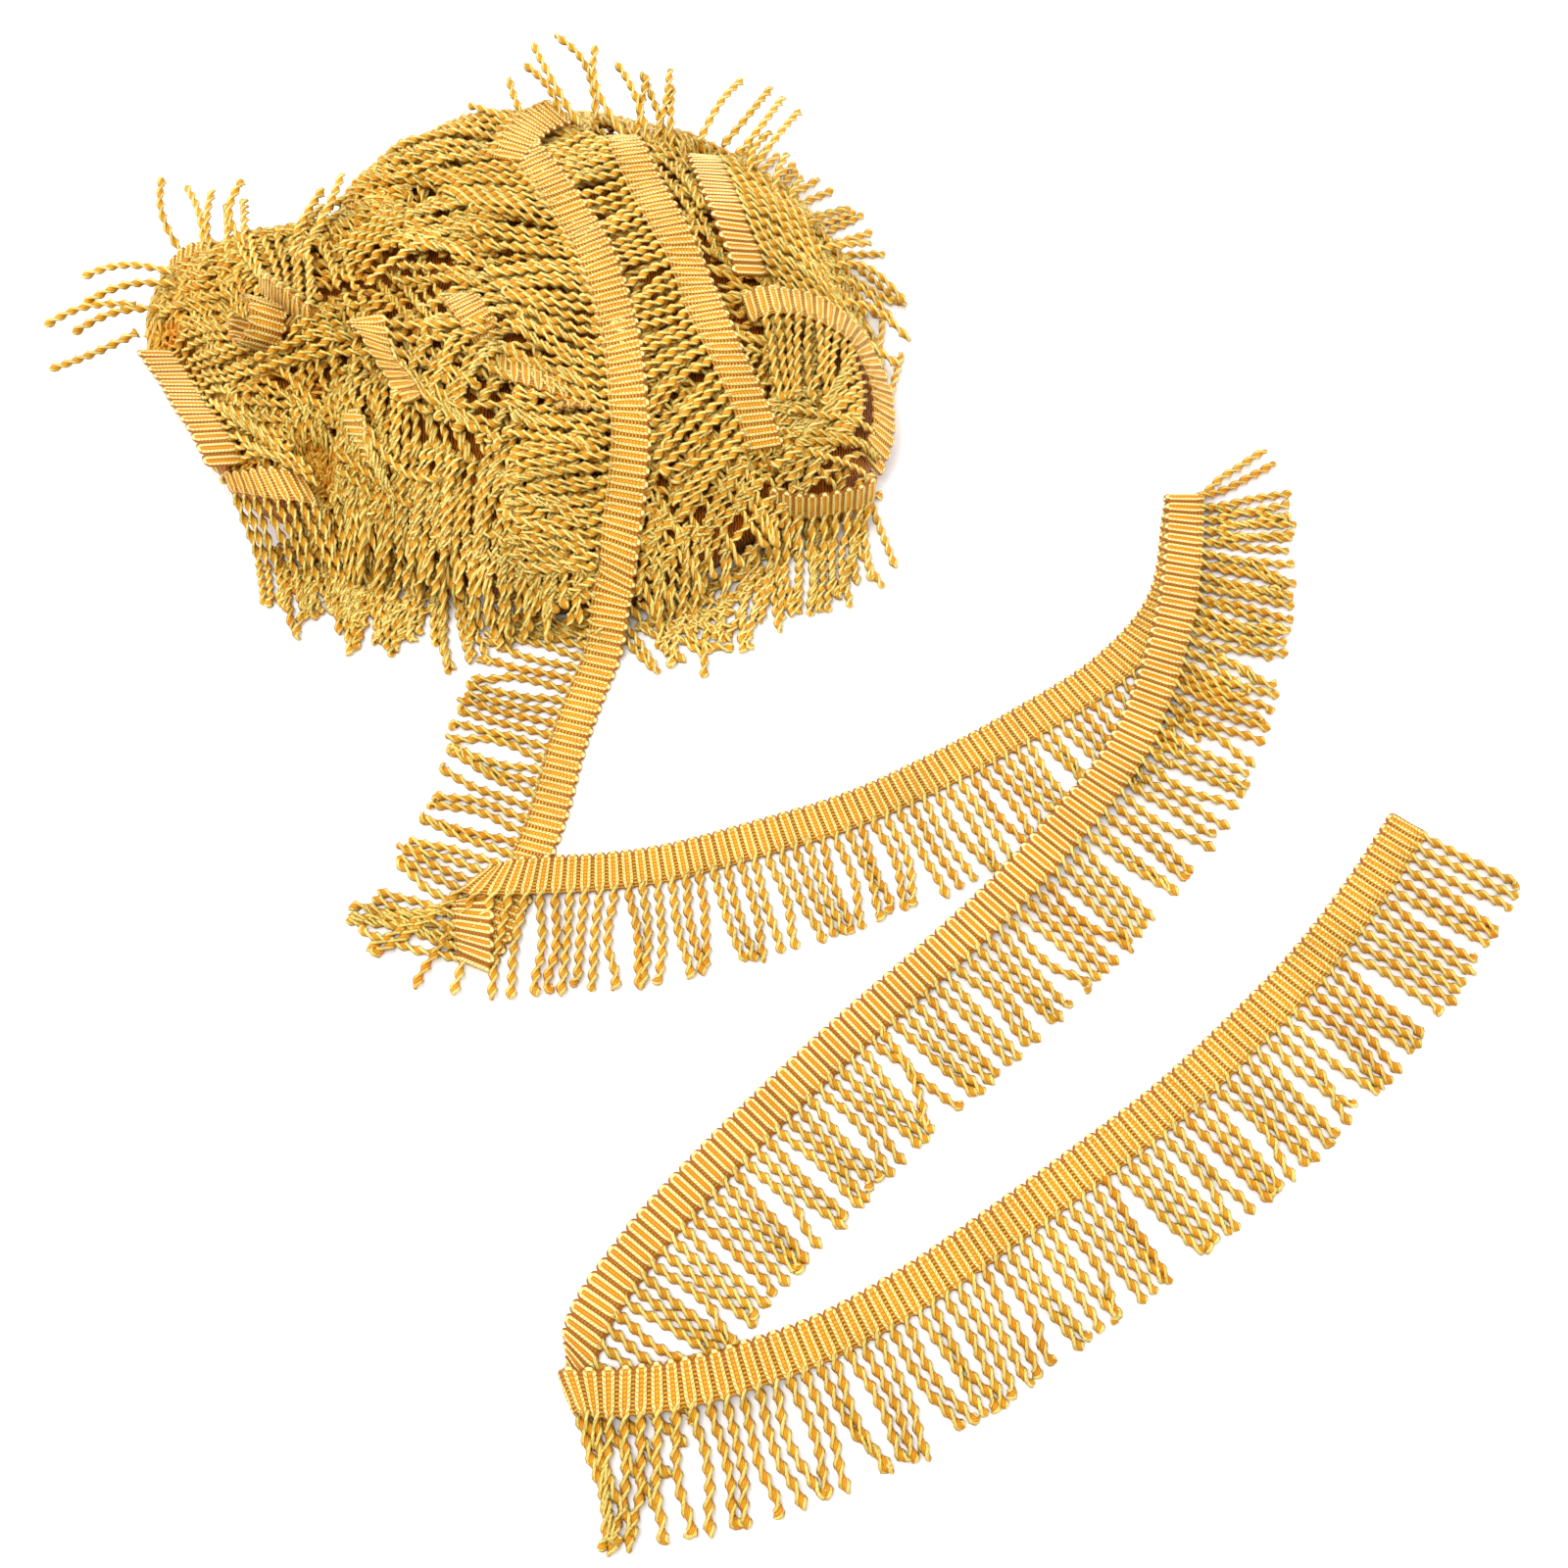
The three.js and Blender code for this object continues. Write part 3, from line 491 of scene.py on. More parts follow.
# The loose end's heading: it comes off the heap's crown and runs down the front of the heap to the
# floor, then in four legs with a fold at each turn. It lies face up but for the short turned layer
# at the first fold and the long third leg, which show the back. The crown's rows are a middle and the
# way across from the scalloped to the corded edge, and the legs' rows have their height between.
CROWN_LIFT = 4.2
CROWN_RUN = np.array([
    (-12, 92, 210), (5, 64, 208), (22, 33, 207), (33, 2, 202), (40, -27, 196), (43.3, -53.8, 187),
    (44.5, -74.4, 182), (43, -92.2, 177), (39.5, -110, 171), (37.2, -119, 169.5)])
LEG_A = np.array([
    (34.6, -128.5, 15, 168), (32.4, -137, 5, 167), (30.2, -145, 0.8, 166), (26, -158, 0, 165.5),
    (18.7, -183.2, 0, 165.1), (9.4, -228.3, 0, 164.8), (6, -238.6, 0, 163.8), (-6.8, -270.3, 0, 157.8)])
TURN = np.array([(-14.8, -273.7, 2.7, 167.9), (-15.9, -262.4, 2.7, 178)])
LEG_B = np.array([
    (-5.5, -250.6, 5.4, 246), (13.5, -248.4, 2.7, 266), (31, -246.6, 0.6, 272), (56.8, -243, 0, 279.7),
    (98.5, -231.4, 0, 286.2), (139.8, -217.3, 0, 292), (178.1, -198, 0, 298.8), (214.9, -176, 0, 302.5),
    (250.6, -151.1, 0, 309.9), (279.4, -116, 0, 334.3), (290.4, -72.6, 0, 353)])
LEG_C = np.array([
    (291.2, -73.9, 3.9, 353.5), (284.3, -114.9, 3.9, 347), (271.7, -154.8, 3.9, 339),
    (253.7, -192.8, 3.9, 328.8), (227.5, -225.7, 3.9, 318), (200.1, -256.3, 3.9, 315.6),
    (169.7, -284.5, 1.2, 312), (139.1, -311.3, 0, 312.5), (109.9, -338.9, 0, 315.2),
    (81.2, -367.9, 0, 317), (55.3, -397.9, 0, 321.5), (37, -430, 0, 322)])
LEG_D = np.array([
    (44, -447.5, 3.9, 278), (83.6, -442.2, 3.9, 284), (100, -437.3, 3.9, 289), (122.5, -429, 0.5, 294),
    (158.7, -410, 0, 299.5), (192.6, -387.7, 0, 303), (225.6, -364.9, 0, 305.5), (258.7, -340.9, 0, 309),
    (289.2, -314.5, 0, 313), (318.8, -286.2, 0, 317.5), (345.2, -255.8, 0, 321), (369.8, -223.3, 0, 325)])


def fold_sections(x, y, across, low, high, bulge, faces):
    """Four sections round a fold: half a circle from the layer below to the layer above, on the side
    that the fold bulges to. faces is 1 where the layer below has its face up, and -1 where not."""
    turn = np.radians((-60, -20, 20, 60))[:, None]
    outwards = compass(bulge) * np.cos(turn) + np.array((0, 0, 1)) * np.sin(turn)
    middle = np.array((x, y, (low + high) / 2 + 1)) + (high - low) / 2 * outwards
    half = compass(across) * HEADING_WIDTH / 2
    return np.hstack([middle - half, middle + half, -faces * outwards])


stretches = [
    heap_sections(CROWN_RUN, CROWN_LIFT), leg_sections(LEG_A),
    fold_sections(-13.3, -285, 157, 0, 2.7, 247, 1), leg_sections(TURN),
    fold_sections(-14.6, -251.4, 222, 2.7, 5.4, 132, -1), leg_sections(LEG_B),
    fold_sections(292.6, -62.1, 360, 0, 3.9, 90, 1), leg_sections(LEG_C),
    fold_sections(35.4, -446.5, 295.6, 0, 3.9, 205.6, -1), leg_sections(LEG_D)]
tail_course, row_arcs = even_course(np.concatenate(stretches))
tail_course[:, [2, 5]] = np.maximum(tail_course[:, [2, 5]], TAPE_LIE)

# Where each leg or fold starts, as a length along the heading. The heading is one length of tape, in
# two pieces that meet at the far fold.
starts = np.append(0, np.cumsum([len(rows) for rows in stretches]))
leg_a_arc, foot_arc, leg_b_arc, far_arc, near_arc = row_arcs[starts[[1, 2, 5, 6, 8]]]
cut = int(far_arc / SCALLOP) * COLUMNS
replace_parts(weave_heading("tail_heading_ab", tail_course[:cut + 1]), "tail_heading")
weave_heading("tail_heading_cd", tail_course[cut:], cut)

# Runs of heading that show on the heap: the windings' own tape, the same as the loose end's, which
# comes up between the cords and goes down among them again. Each row is a middle and a way across.
RUN_LIFT = 3.6
RUN_DIP = 5
RUNS = {
    "middle": ((30.7, 111, -158), (49.2, 62, -164), (66, 22, -168), (82.4, -24, -168),
               (91.6, -43.7, -166), (101.5, -64, -163)),
    "right": ((71.8, 106.5, 16), (79, 76, 13), (86, 52, 14), (96, 24, 18)),
    "loop": ((93, 1, -76), (107.5, 6, -80), (121.7, 9, -87), (133.8, 7.5, -98), (143.4, 2.5, -112),
             (147, -5, -127), (151.4, -16.2, -145), (152.5, -28, -160), (150.6, -42, -176),
             (145, -53, -192)),
}
run_courses = {}
for name, rows in RUNS.items():
    run_courses[name] = even_course(heap_sections(np.array(rows, float), RUN_LIFT, RUN_DIP))[0]
    weave_heading("run_" + name, run_courses[name])

# Where the tape turns over between the windings it shows in short bits that lean, stand on edge or
# fan out. Each row is a middle, the way across from scalloped to corded edge, and its tilt upwards.
BITS = {
    "left": ((-178, 2, 29, 12, -16), (-171, -8, 30, 9, -8), (-164, -18, 31, 4, -5), (-153, -36, 35, 4, -5),
             (-145, -47, 36, 7, -4), (-139, -57, 34, 11, -8), (-136, -63, 28, 19, -19)),
    "fold": ((-137, -68, 24, -65, 20), (-124, -73, 30, -65, 10), (-113, -76, 34, -62, -14),
             (-103, -78, 35, -60, -16), (-96, -78, 30, -60, -8)),
    "upright": ((-95, -14, 67, -20, 75), (-102, -9, 70, -23, 73), (-114, 3, 67, -24, 71),
                (-125, 16, 61, -23, 71)),
    "fan": ((-49, -56, 64, -17, 40), (-51, -51, 68, -24, 34), (-55, -44, 69, -32, 32),
            (-61, -36, 70, -36, 26), (-66, -26, 69, -29, 10), (-70, -17, 68, -7, 8), (-74, -9, 67, 19, 16)),
    "patch": ((-71, -74, 46, -28, 24), (-73, -66, 55, -26, 26), (-75, -60, 59, -25, 28),
              (-79, -51, 53, -20, 30)),
    "arch": ((-180, 46, 28, -90, -16), (-172, 50, 34, -91, -12), (-162, 50, 38, -93, -8),
             (-152, 42, 40, -97, -4)),
    "crown": ((3, 126, 55, 136, 11), (-7, 112, 61, 145, 9), (-14, 93, 66, 159, 3), (-19, 77, 67, 165, -9)),
    "upper": ((-38, 14, 56, -140, 12), (-31, 0, 64, -135, 14), (-22, -15, 66, -129, 14),
              (-15, -26, 58, -122, 10)),
    "lower": ((-22, -31, 58, -90, 6), (-8, -38, 65, -85, 10), (6, -44, 66, -82, 12), (17, -48, 65, -80, 14),
              (29, -46, 57, -77, 16)),
    "edge": ((13, -55, 61, -92, 43), (21, -57, 65, -90, 43), (32, -56, 61, -88, 43)),
    "loop_end": ((103, -79, 26, -90, -84), (111, -80, 24, -90, -86), (123, -79, 21, -90, -87),
                 (136, -75, 19, -92, -86), (146, -71, 18, -100, -85), (154, -65, 20, -120, -80)),
}
ROLL_MIDDLE = np.array((-121, -12, 62))
ROLL_AXIS = np.array((0.70, 0.24, -0.67))


def leaning_sections(rows):
    """Sections 4 mm apart on a smooth curve through the rows, each tilted up from its level way
    across; the face's normal is the way across crossed with the way along."""
    knots = lengths_along(rows[:, :3])
    rows = smooth_rows(knots, rows, np.linspace(0, knots[-1], int(knots[-1] / 4) + 2))
    middle, tilt = rows[:, :3], np.radians(rows[:, 4:])
    half = (compass(rows[:, 3]) * np.cos(tilt) + np.array((0, 0, 1)) * np.sin(tilt)) * HEADING_WIDTH / 2
    return np.hstack([middle - half, middle + half, unit(np.cross(half, np.gradient(middle, axis=0)))])


def rolled_sections(middle, axis, start, end):
    """Sections of a bit rolled up on itself: round an axis at a radius that shrinks from 11 to 8 mm."""
    turn = np.radians(np.linspace(start, end, 30))[:, None]
    above = unit(np.array((0, 0, 1)) - axis * axis[2])
    radius = np.linspace(11, 8, 30)[:, None]
    outwards = above * np.cos(turn) + np.cross(axis, above) * np.sin(turn)
    half = unit(axis) * HEADING_WIDTH / 2
    return np.hstack([middle + outwards * radius + half, middle + outwards * radius - half, outwards])


for name, rows in BITS.items():
    run_courses[name] = even_course(leaning_sections(np.array(rows, float)))[0]
    weave_heading("run_" + name, run_courses[name])
weave_heading("run_rolled", even_course(rolled_sections(ROLL_MIDDLE, ROLL_AXIS, -70, 240))[0])

# The cords: each is one covered yarn that leaves the heading's corded edge, goes out 45 mm, turns in
# a small loop and comes back, twisted on itself to the right. Seen close, every half turn is a pale
# strand beside a lens of deeper gold, with thin dark lines where the strands turn away: on the
# yarn's gold, the pale is a painted highlight on each strand's crown, and the lens and the dark lines
# are painted shade in the hollow and where the strands turn into it. Each strand is STRAND in radius,
# its middle APART from the cord's, and the cord's own middle lies FLOOR_LIE up.
# A cord's path has PATH_STEPS steps, and comes away from its root's height within about ROOT_EASE.
HALF_TURN = 6.2
CORD_REACH = 45
STRAND = 1.0
APART = 1.2
STRAND_ARC = 110
STRAND_PLACES = 3
HOLLOW = 0.4
FLOOR_LIE = 2.05
STEEPEST_FALL = 1.2
PATH_STEPS = 48
ROOT_EASE = 6
LEG_PAINTED_SHADE = 1.7
THREADS = 16


def strand_section():
    """The cord's section: an arc of each of two circles side by side, and the bottom of the hollow
    between them on both sides. Each strand's middle is at 1/4 or 3/4 of the way round."""
    arc = np.linspace(-STRAND_ARC, STRAND_ARC, STRAND_PLACES)
    right = np.column_stack([APART + STRAND * np.cos(np.radians(arc)), STRAND * np.sin(np.radians(arc))])
    ring = np.concatenate([[(0, -HOLLOW)], right, [(0, HOLLOW)], -right])
    share = 0.25 + arc / STRAND_ARC * 0.15
    return ring, np.concatenate([[0], share, [0.5], share + 0.5])


def twisted(name, paths, phase, dye_and_shade, stations, painted_shade=0):
    """Twisted cords along paths[cord, step]. The section is carried along each path, turned by half
    a turn each HALF_TURN from its own phase, and closed by a round end on the last 2.4 mm, past the
    small swelling of its loop. It is a little thicker at its root. The value kept for each point starts
    at the cord's random dye and, as painted shade, falls by up to 6 on the cord's underside, by up to
    3.5 where it lies deep in the heap, and by the last argument on darker copies of the same yarn."""
    step = np.linalg.norm(np.diff(paths, axis=1), axis=2)
    arc = np.concatenate([np.zeros((len(paths), 1)), np.cumsum(step, 1)], 1)
    length = arc[:, -1:]
    share = np.linspace(0, 1, stations - 3)
    at = np.concatenate([share * (length - 2.2), length - 1.4, length - 0.6, length], 1)
    steps = paths.shape[1] - 1
    position = at / length * steps
    i = np.clip(position.astype(int), 0, steps - 1)
    t = (position - i)[..., None]
    row = np.arange(len(paths))[:, None]
    spot = paths[row, i] * (1 - t) + paths[row, i + 1] * t
    along = unit(np.gradient(spot, axis=1))
    side = unit(np.cross((0, 0, 1), along))
    up = np.cross(along, side)
    ring, round_0 = strand_section()
    past = np.clip((at - length + 2.4) / 2.4, 0, 1)
    swelling = 1 + 0.12 * np.exp(-((length - at - 3.4) / 1.6) ** 2)
    size = np.sqrt(np.maximum(1 - past ** 2.4, 0.01)) * swelling
    size = (size * np.clip(1.18 - at / 30, 1, 2))[..., None]
    turn = (phase[:, None] + np.pi * at / HALF_TURN)[..., None]
    a = (ring[:, 0] * np.cos(turn) - ring[:, 1] * np.sin(turn)) * size
    b = (ring[:, 0] * np.sin(turn) + ring[:, 1] * np.cos(turn)) * size
    points = spot[:, :, None] + side[:, :, None] * a[..., None] + up[:, :, None] * b[..., None]
    x, y, z = spot[..., 0], spot[..., 1], spot[..., 2]
    # Painted shade: darker on each cord's underside and where it lies deep under the heap's top.
    buried_shade = np.where(rim_share(x, y) < 0.97, np.clip((pile_top(x, y) - z) / 8, 0, 1), 0)
    underside_shade = np.clip(0.3 - b / 2.2, 0, 1)
    dye_and_shade = np.clip(dye_and_shade, -2, 2)[:, None, None] - 6 * underside_shade - 3.5 * buried_shade[..., None] - painted_shade
    return grid_piece(name, points, (round_0, (at / HALF_TURN)[..., None]), cord_yarn, dye_and_shade=dye_and_shade)


def lay_cords(name, paths, chance, stations, painted_shade=0):
    """Twisted cords along the paths, whose first turns and shades fall by chance."""
    phase = chance.uniform(0, np.pi, len(paths))
    return twisted(name, paths, phase, chance.normal(0, 1, len(paths)), stations, painted_shade)


def pile_top(x, y):
    """Height that a cord lies on: the heap inside its rim, and the floor outside."""
    return np.where(rim_share(x, y) < 1, heap_top(x, y), 0)


def draped(root, azimuth, length, lift, bend=0.0, aside=(0.0, 0.0), hook=0.0):
    """Paths of cords laid on the pile: from its root each goes out by even steps of its length along
    an azimuth that turns by bend on the way and by hook on the last tenth, less far where the ground
    is steep, at a lift over it. aside shifts the cord square to its course, by the first value on
    its middle part and by the second towards its end. The heights are then evened out along the
    cord, which is too stiff to follow every lump, and run smoothly from the root's own height. Last,
    no cord falls faster than STEEPEST_FALL in 1."""
    count = len(root)
    azimuth, length, lift, bend = (np.broadcast_to(v, (count,)).astype(float) for v in
                                   (azimuth, length, lift, bend))
    x, y = root[:, 0].copy(), root[:, 1].copy()
    step = length / PATH_STEPS
    track = [(x.copy(), y.copy())]
    for k in range(PATH_STEPS):
        out = (k + 0.5) / PATH_STEPS
        turn = np.radians(azimuth + bend * out ** 1.5 + hook * np.clip(out * 10 - 9, 0, 1))
        far_x, far_y = x + 3 * np.cos(turn), y + 3 * np.sin(turn)
        slope = (pile_top(far_x, far_y) - pile_top(x, y)) / 3
        run = step / np.sqrt(1 + np.minimum(slope ** 2, STEEPEST_FALL ** 2))
        x, y = x + run * np.cos(turn), y + run * np.sin(turn)
        track.append((x.copy(), y.copy()))
    x, y = np.array(track).transpose(1, 2, 0)
    out = np.linspace(0, 1, PATH_STEPS + 1)
    rise, late = np.clip((out - 0.1) / 0.3, 0, 1), np.clip((out - 0.55) / 0.35, 0, 1)
    rise, late = rise * rise * (3 - 2 * rise), late * late * (3 - 2 * late)
    early, final = (np.broadcast_to(v, (count,))[:, None] for v in aside)
    shift = early * rise * (1 - late) + final * late
    x = x - shift * np.sin(np.radians(azimuth))[:, None]
    y = y + shift * np.cos(np.radians(azimuth))[:, None]
    floor_lift = np.maximum(lift, 0)[:, None] * 0.3
    ground = pile_top(x, y) + np.where(rim_share(x, y) < 1, lift[:, None], floor_lift)
    for _ in range(12):
        ground[:, 1:-1] = (ground[:, :-2] + 2 * ground[:, 1:-1] + ground[:, 2:]) / 4
    ground = np.maximum(ground, 0) + FLOOR_LIE
    share = np.exp(-(length[:, None] * out / ROOT_EASE) ** 2)
    z = ground * (1 - share) + root[:, 2:3] * share
    drop = STEEPEST_FALL * np.hypot(np.diff(x, axis=1), np.diff(y, axis=1))
    for k in range(PATH_STEPS):
        z[:, k + 1] = np.maximum(z[:, k + 1], z[:, k] - drop[:, k])
    return np.stack([x, y, np.maximum(z, FLOOR_LIE - 0.2)], -1)


def clumps(count, chance, stray):
    """Cords lie in groups of two to six, and further out in other groups. Returns how far each cord
    is drawn towards the middle of the first and the second group, in mm, so that they touch, and the
    lean of each, in degrees: its group's sway, a little of its own, and more on the few that stray."""
    draws = []
    for tight in (0.9, 1.3):
        group = np.repeat(np.arange(count), chance.integers(2, 7, count))[:count]
        first = np.searchsorted(group, group)
        size = np.bincount(group)[group]
        draws.append(-tight * (np.arange(count) - first - (size - 1) / 2))
        sway = (stray * chance.normal(0, 1, count))[group]
    strays = chance.random(count) < 0.08
    return draws, sway + chance.normal(0, 1.2, count) + strays * chance.normal(0, 12, count)


def corded_edge(course, first, last):
    """Where cords leave the heading between two distances along it: the middle of each scallop at the
    corded edge, the azimuth straight out, and the azimuth along."""
    scallops = np.arange(int(np.ceil(first / SCALLOP - 0.5)), int(last / SCALLOP - 0.5) + 1)
    i = scallops * COLUMNS + COLUMNS // 2
    i = i[i < len(course) - 1]
    low, high = course[i, :3], course[i, 3:6]
    across = unit(high - low)
    ahead = course[i + 1, 3:6] - course[i - 1, 3:6]
    root = high - 1.6 * across
    return (root, np.degrees(np.arctan2(across[:, 1], across[:, 0])),
            np.degrees(np.arctan2(ahead[:, 1], ahead[:, 0])))


def hang_cords(name, course, first, last, seed, slot="cords", lift=(0, 0), fan=(0, 0), stray=3.5):
    """The cords of one stretch of heading. lift and fan are values along the stretch, evenly spread:
    how high the cords lie, and how many degrees they lean away from straight out."""
    chance = np.random.default_rng(seed)
    root, out, ahead = corded_edge(course, first, last)
    count = len(root)
    share = np.linspace(0, 1, count)
    lift = np.interp(share, np.linspace(0, 1, len(lift)), lift)
    fan = np.interp(share, np.linspace(0, 1, len(fan)), fan)
    side = np.sign((ahead - out + 180) % 360 - 180)
    draws, lean = clumps(count, chance, stray)
    hook = chance.choice((-1, 1), count) * chance.uniform(0, 170, count) * (chance.random(count) < 0.55)
    length = CORD_REACH + chance.normal(0, 0.9, count)
    paths = draped(root, out + fan + 0.4 * lean, length, lift + abs(chance.normal(0, 0.4, count)),
                   1.3 * lean + chance.normal(0, 3, count), [draw * side for draw in draws], hook)
    phase = 0.6 + chance.normal(0, 0.45, count)
    # Painted shade: the loose end's cords are a darker copy of the same yarn.
    painted_shade = LEG_PAINTED_SHADE if slot == "cords" else 0
    return twisted(name, paths, phase, chance.normal(0, 1, count), 34, painted_shade)


cord_yarn = new_finish("twisted_rayon_cord")
tree = cord_yarn.node_tree
round_at, along_at = yarn_places(tree)
from_middle = sums(tree, "MULTIPLY", sums(tree, "ABSOLUTE", sums(
    tree, "SUBTRACT", sums(tree, "FRACT", sums(tree, "MULTIPLY", round_at, 2.0)), 0.5)), 2.0)
# Painted light across each strand, from its crown to the hollow: a thin dark line of painted shade at the
# crown between its yarns, a pale painted highlight, a dark line of painted shade where it turns into the
# hollow, and the hollow's lens in deep orange browning to its bottom, also painted shade.
cord_colour = colour_ramp(tree, from_middle, (
    (0.00, (0.42, 0.17, 0.01)), (0.08, (0.95, 0.74, 0.23)), (0.45, (0.96, 0.76, 0.24)),
    (0.50, (0.92, 0.58, 0.12)), (0.56, (0.32, 0.10, 0.003)), (0.62, (0.38, 0.12, 0.004)),
    (0.70, (0.86, 0.37, 0.02)), (0.88, (0.90, 0.43, 0.026)), (1.00, (0.68, 0.23, 0.006))))
# Painted shade from the kept value: below the random dye's range the colour darkens and turns redder on
# undersides, deep in the heap and on darker copies of the yarn, and the dye level bottoms out there too.
shade = tree.nodes.new("ShaderNodeAttribute")
shade.attribute_name = "dye_and_shade"
dye_and_shade_level = eased(tree, shade.outputs["Fac"], -2.0, 2.0, 0.8, 1.12)
dye_and_shade_tint = value_node(tree, "ShaderNodeCombineColor", dye_and_shade_level, dye_and_shade_level, sums(tree, "POWER", dye_and_shade_level, 2.0))
cord_colour = blend_colours(tree, 1.0, cord_colour, dye_and_shade_tint, "MULTIPLY")
painted_depth_shade = eased(tree, shade.outputs["Fac"], -2.0, -11.0, 0.0, 1.0)
painted_depth_tint = colour_ramp(tree, painted_depth_shade, ((0.0, (1, 1, 1)), (0.3, (0.97, 0.76, 0.42)),
                                     (0.6, (0.90, 0.50, 0.14)), (1.0, (0.62, 0.20, 0.03))))
cord_colour = blend_colours(tree, 1.0, cord_colour, painted_depth_tint, "MULTIPLY")
thread_turn = sums(tree, "MULTIPLY", round_at, 2 * np.pi * THREADS)
threads = sums(tree, "SINE", sums(tree, "ADD", thread_turn, sums(tree, "MULTIPLY", along_at, 9.0)))
finish_yarn(cord_yarn, cord_colour, threads, 0.00008, 0.33, 0.1)

# The loose end's cords, leg by leg. They lie flat on the floor, over the folded layers at the first
# turn, over the second leg's last cords at the far fold, and over the third leg's at the near one.
hang_cords("crown_cords", tail_course, 6, leg_a_arc - 4, 11, "heap", (1, 0.5, 0.5, 0.5, 0, -1),
           (-25, -30, -32, -34, -29, -17, 3, 12, 14, 10))
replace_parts(hang_cords("tail_cords_a", tail_course, leg_a_arc - 4, foot_arc - 2, 12), "tail_fringe_a")
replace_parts(hang_cords("turn_cords", tail_course, foot_arc - 2, leg_b_arc + 4, 13,
                       lift=(0, 0, 2, 4, 4)), "turn_fringe")
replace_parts(hang_cords("tail_cords_b", tail_course, leg_b_arc + 4, far_arc - 2, 14,
                       lift=(3, 1, 0, 0, 0, 0, 0, 0, 0, 0)), "tail_fringe_b")
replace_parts(hang_cords("tail_cords_c", tail_course, far_arc - 2, near_arc - 2, 15,
                       lift=(3, 3, 3, 1, 0, 0, 0, 0, 0, 0), fan=(34, 0, 0, 0, 0, 0, 0, 0, 0, 0, 0)),
            "tail_fringe_c")
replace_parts(hang_cords("tail_cords_d", tail_course, near_arc - 2, 1e6, 16,
                       lift=(3, 2, 0, 0, 0, 0, 0, 0, 0, 0)), "tail_fringe_d")

# The cords of the runs on the heap, twisted from the same yarn at each run's corded edge. The windings
# drag them aside, so along each run they lean away from straight out by the angles given.
RUN_FAN = {"middle": (8, 14, 18, 22, 28, 32), "right": (-18, -25, -36, -46),
           "loop": (-10, -6, 0, 6, 14, 28, 36, 40), "left": (-24, -32, -38, -40), "fold": (-6, -2),
           "fan": (0, 0), "crown": (30, 15), "loop_end": (0, 0), "upright": (110, 150), "patch": (-40, -40)}
for seed, (name, fan) in enumerate(RUN_FAN.items()):
    hang_cords("run_cords_" + name, run_courses[name], 4 if name in RUNS else 0, 1e6, 20 + seed, "heap",
               (0.5, 0.5), fan, stray=5)

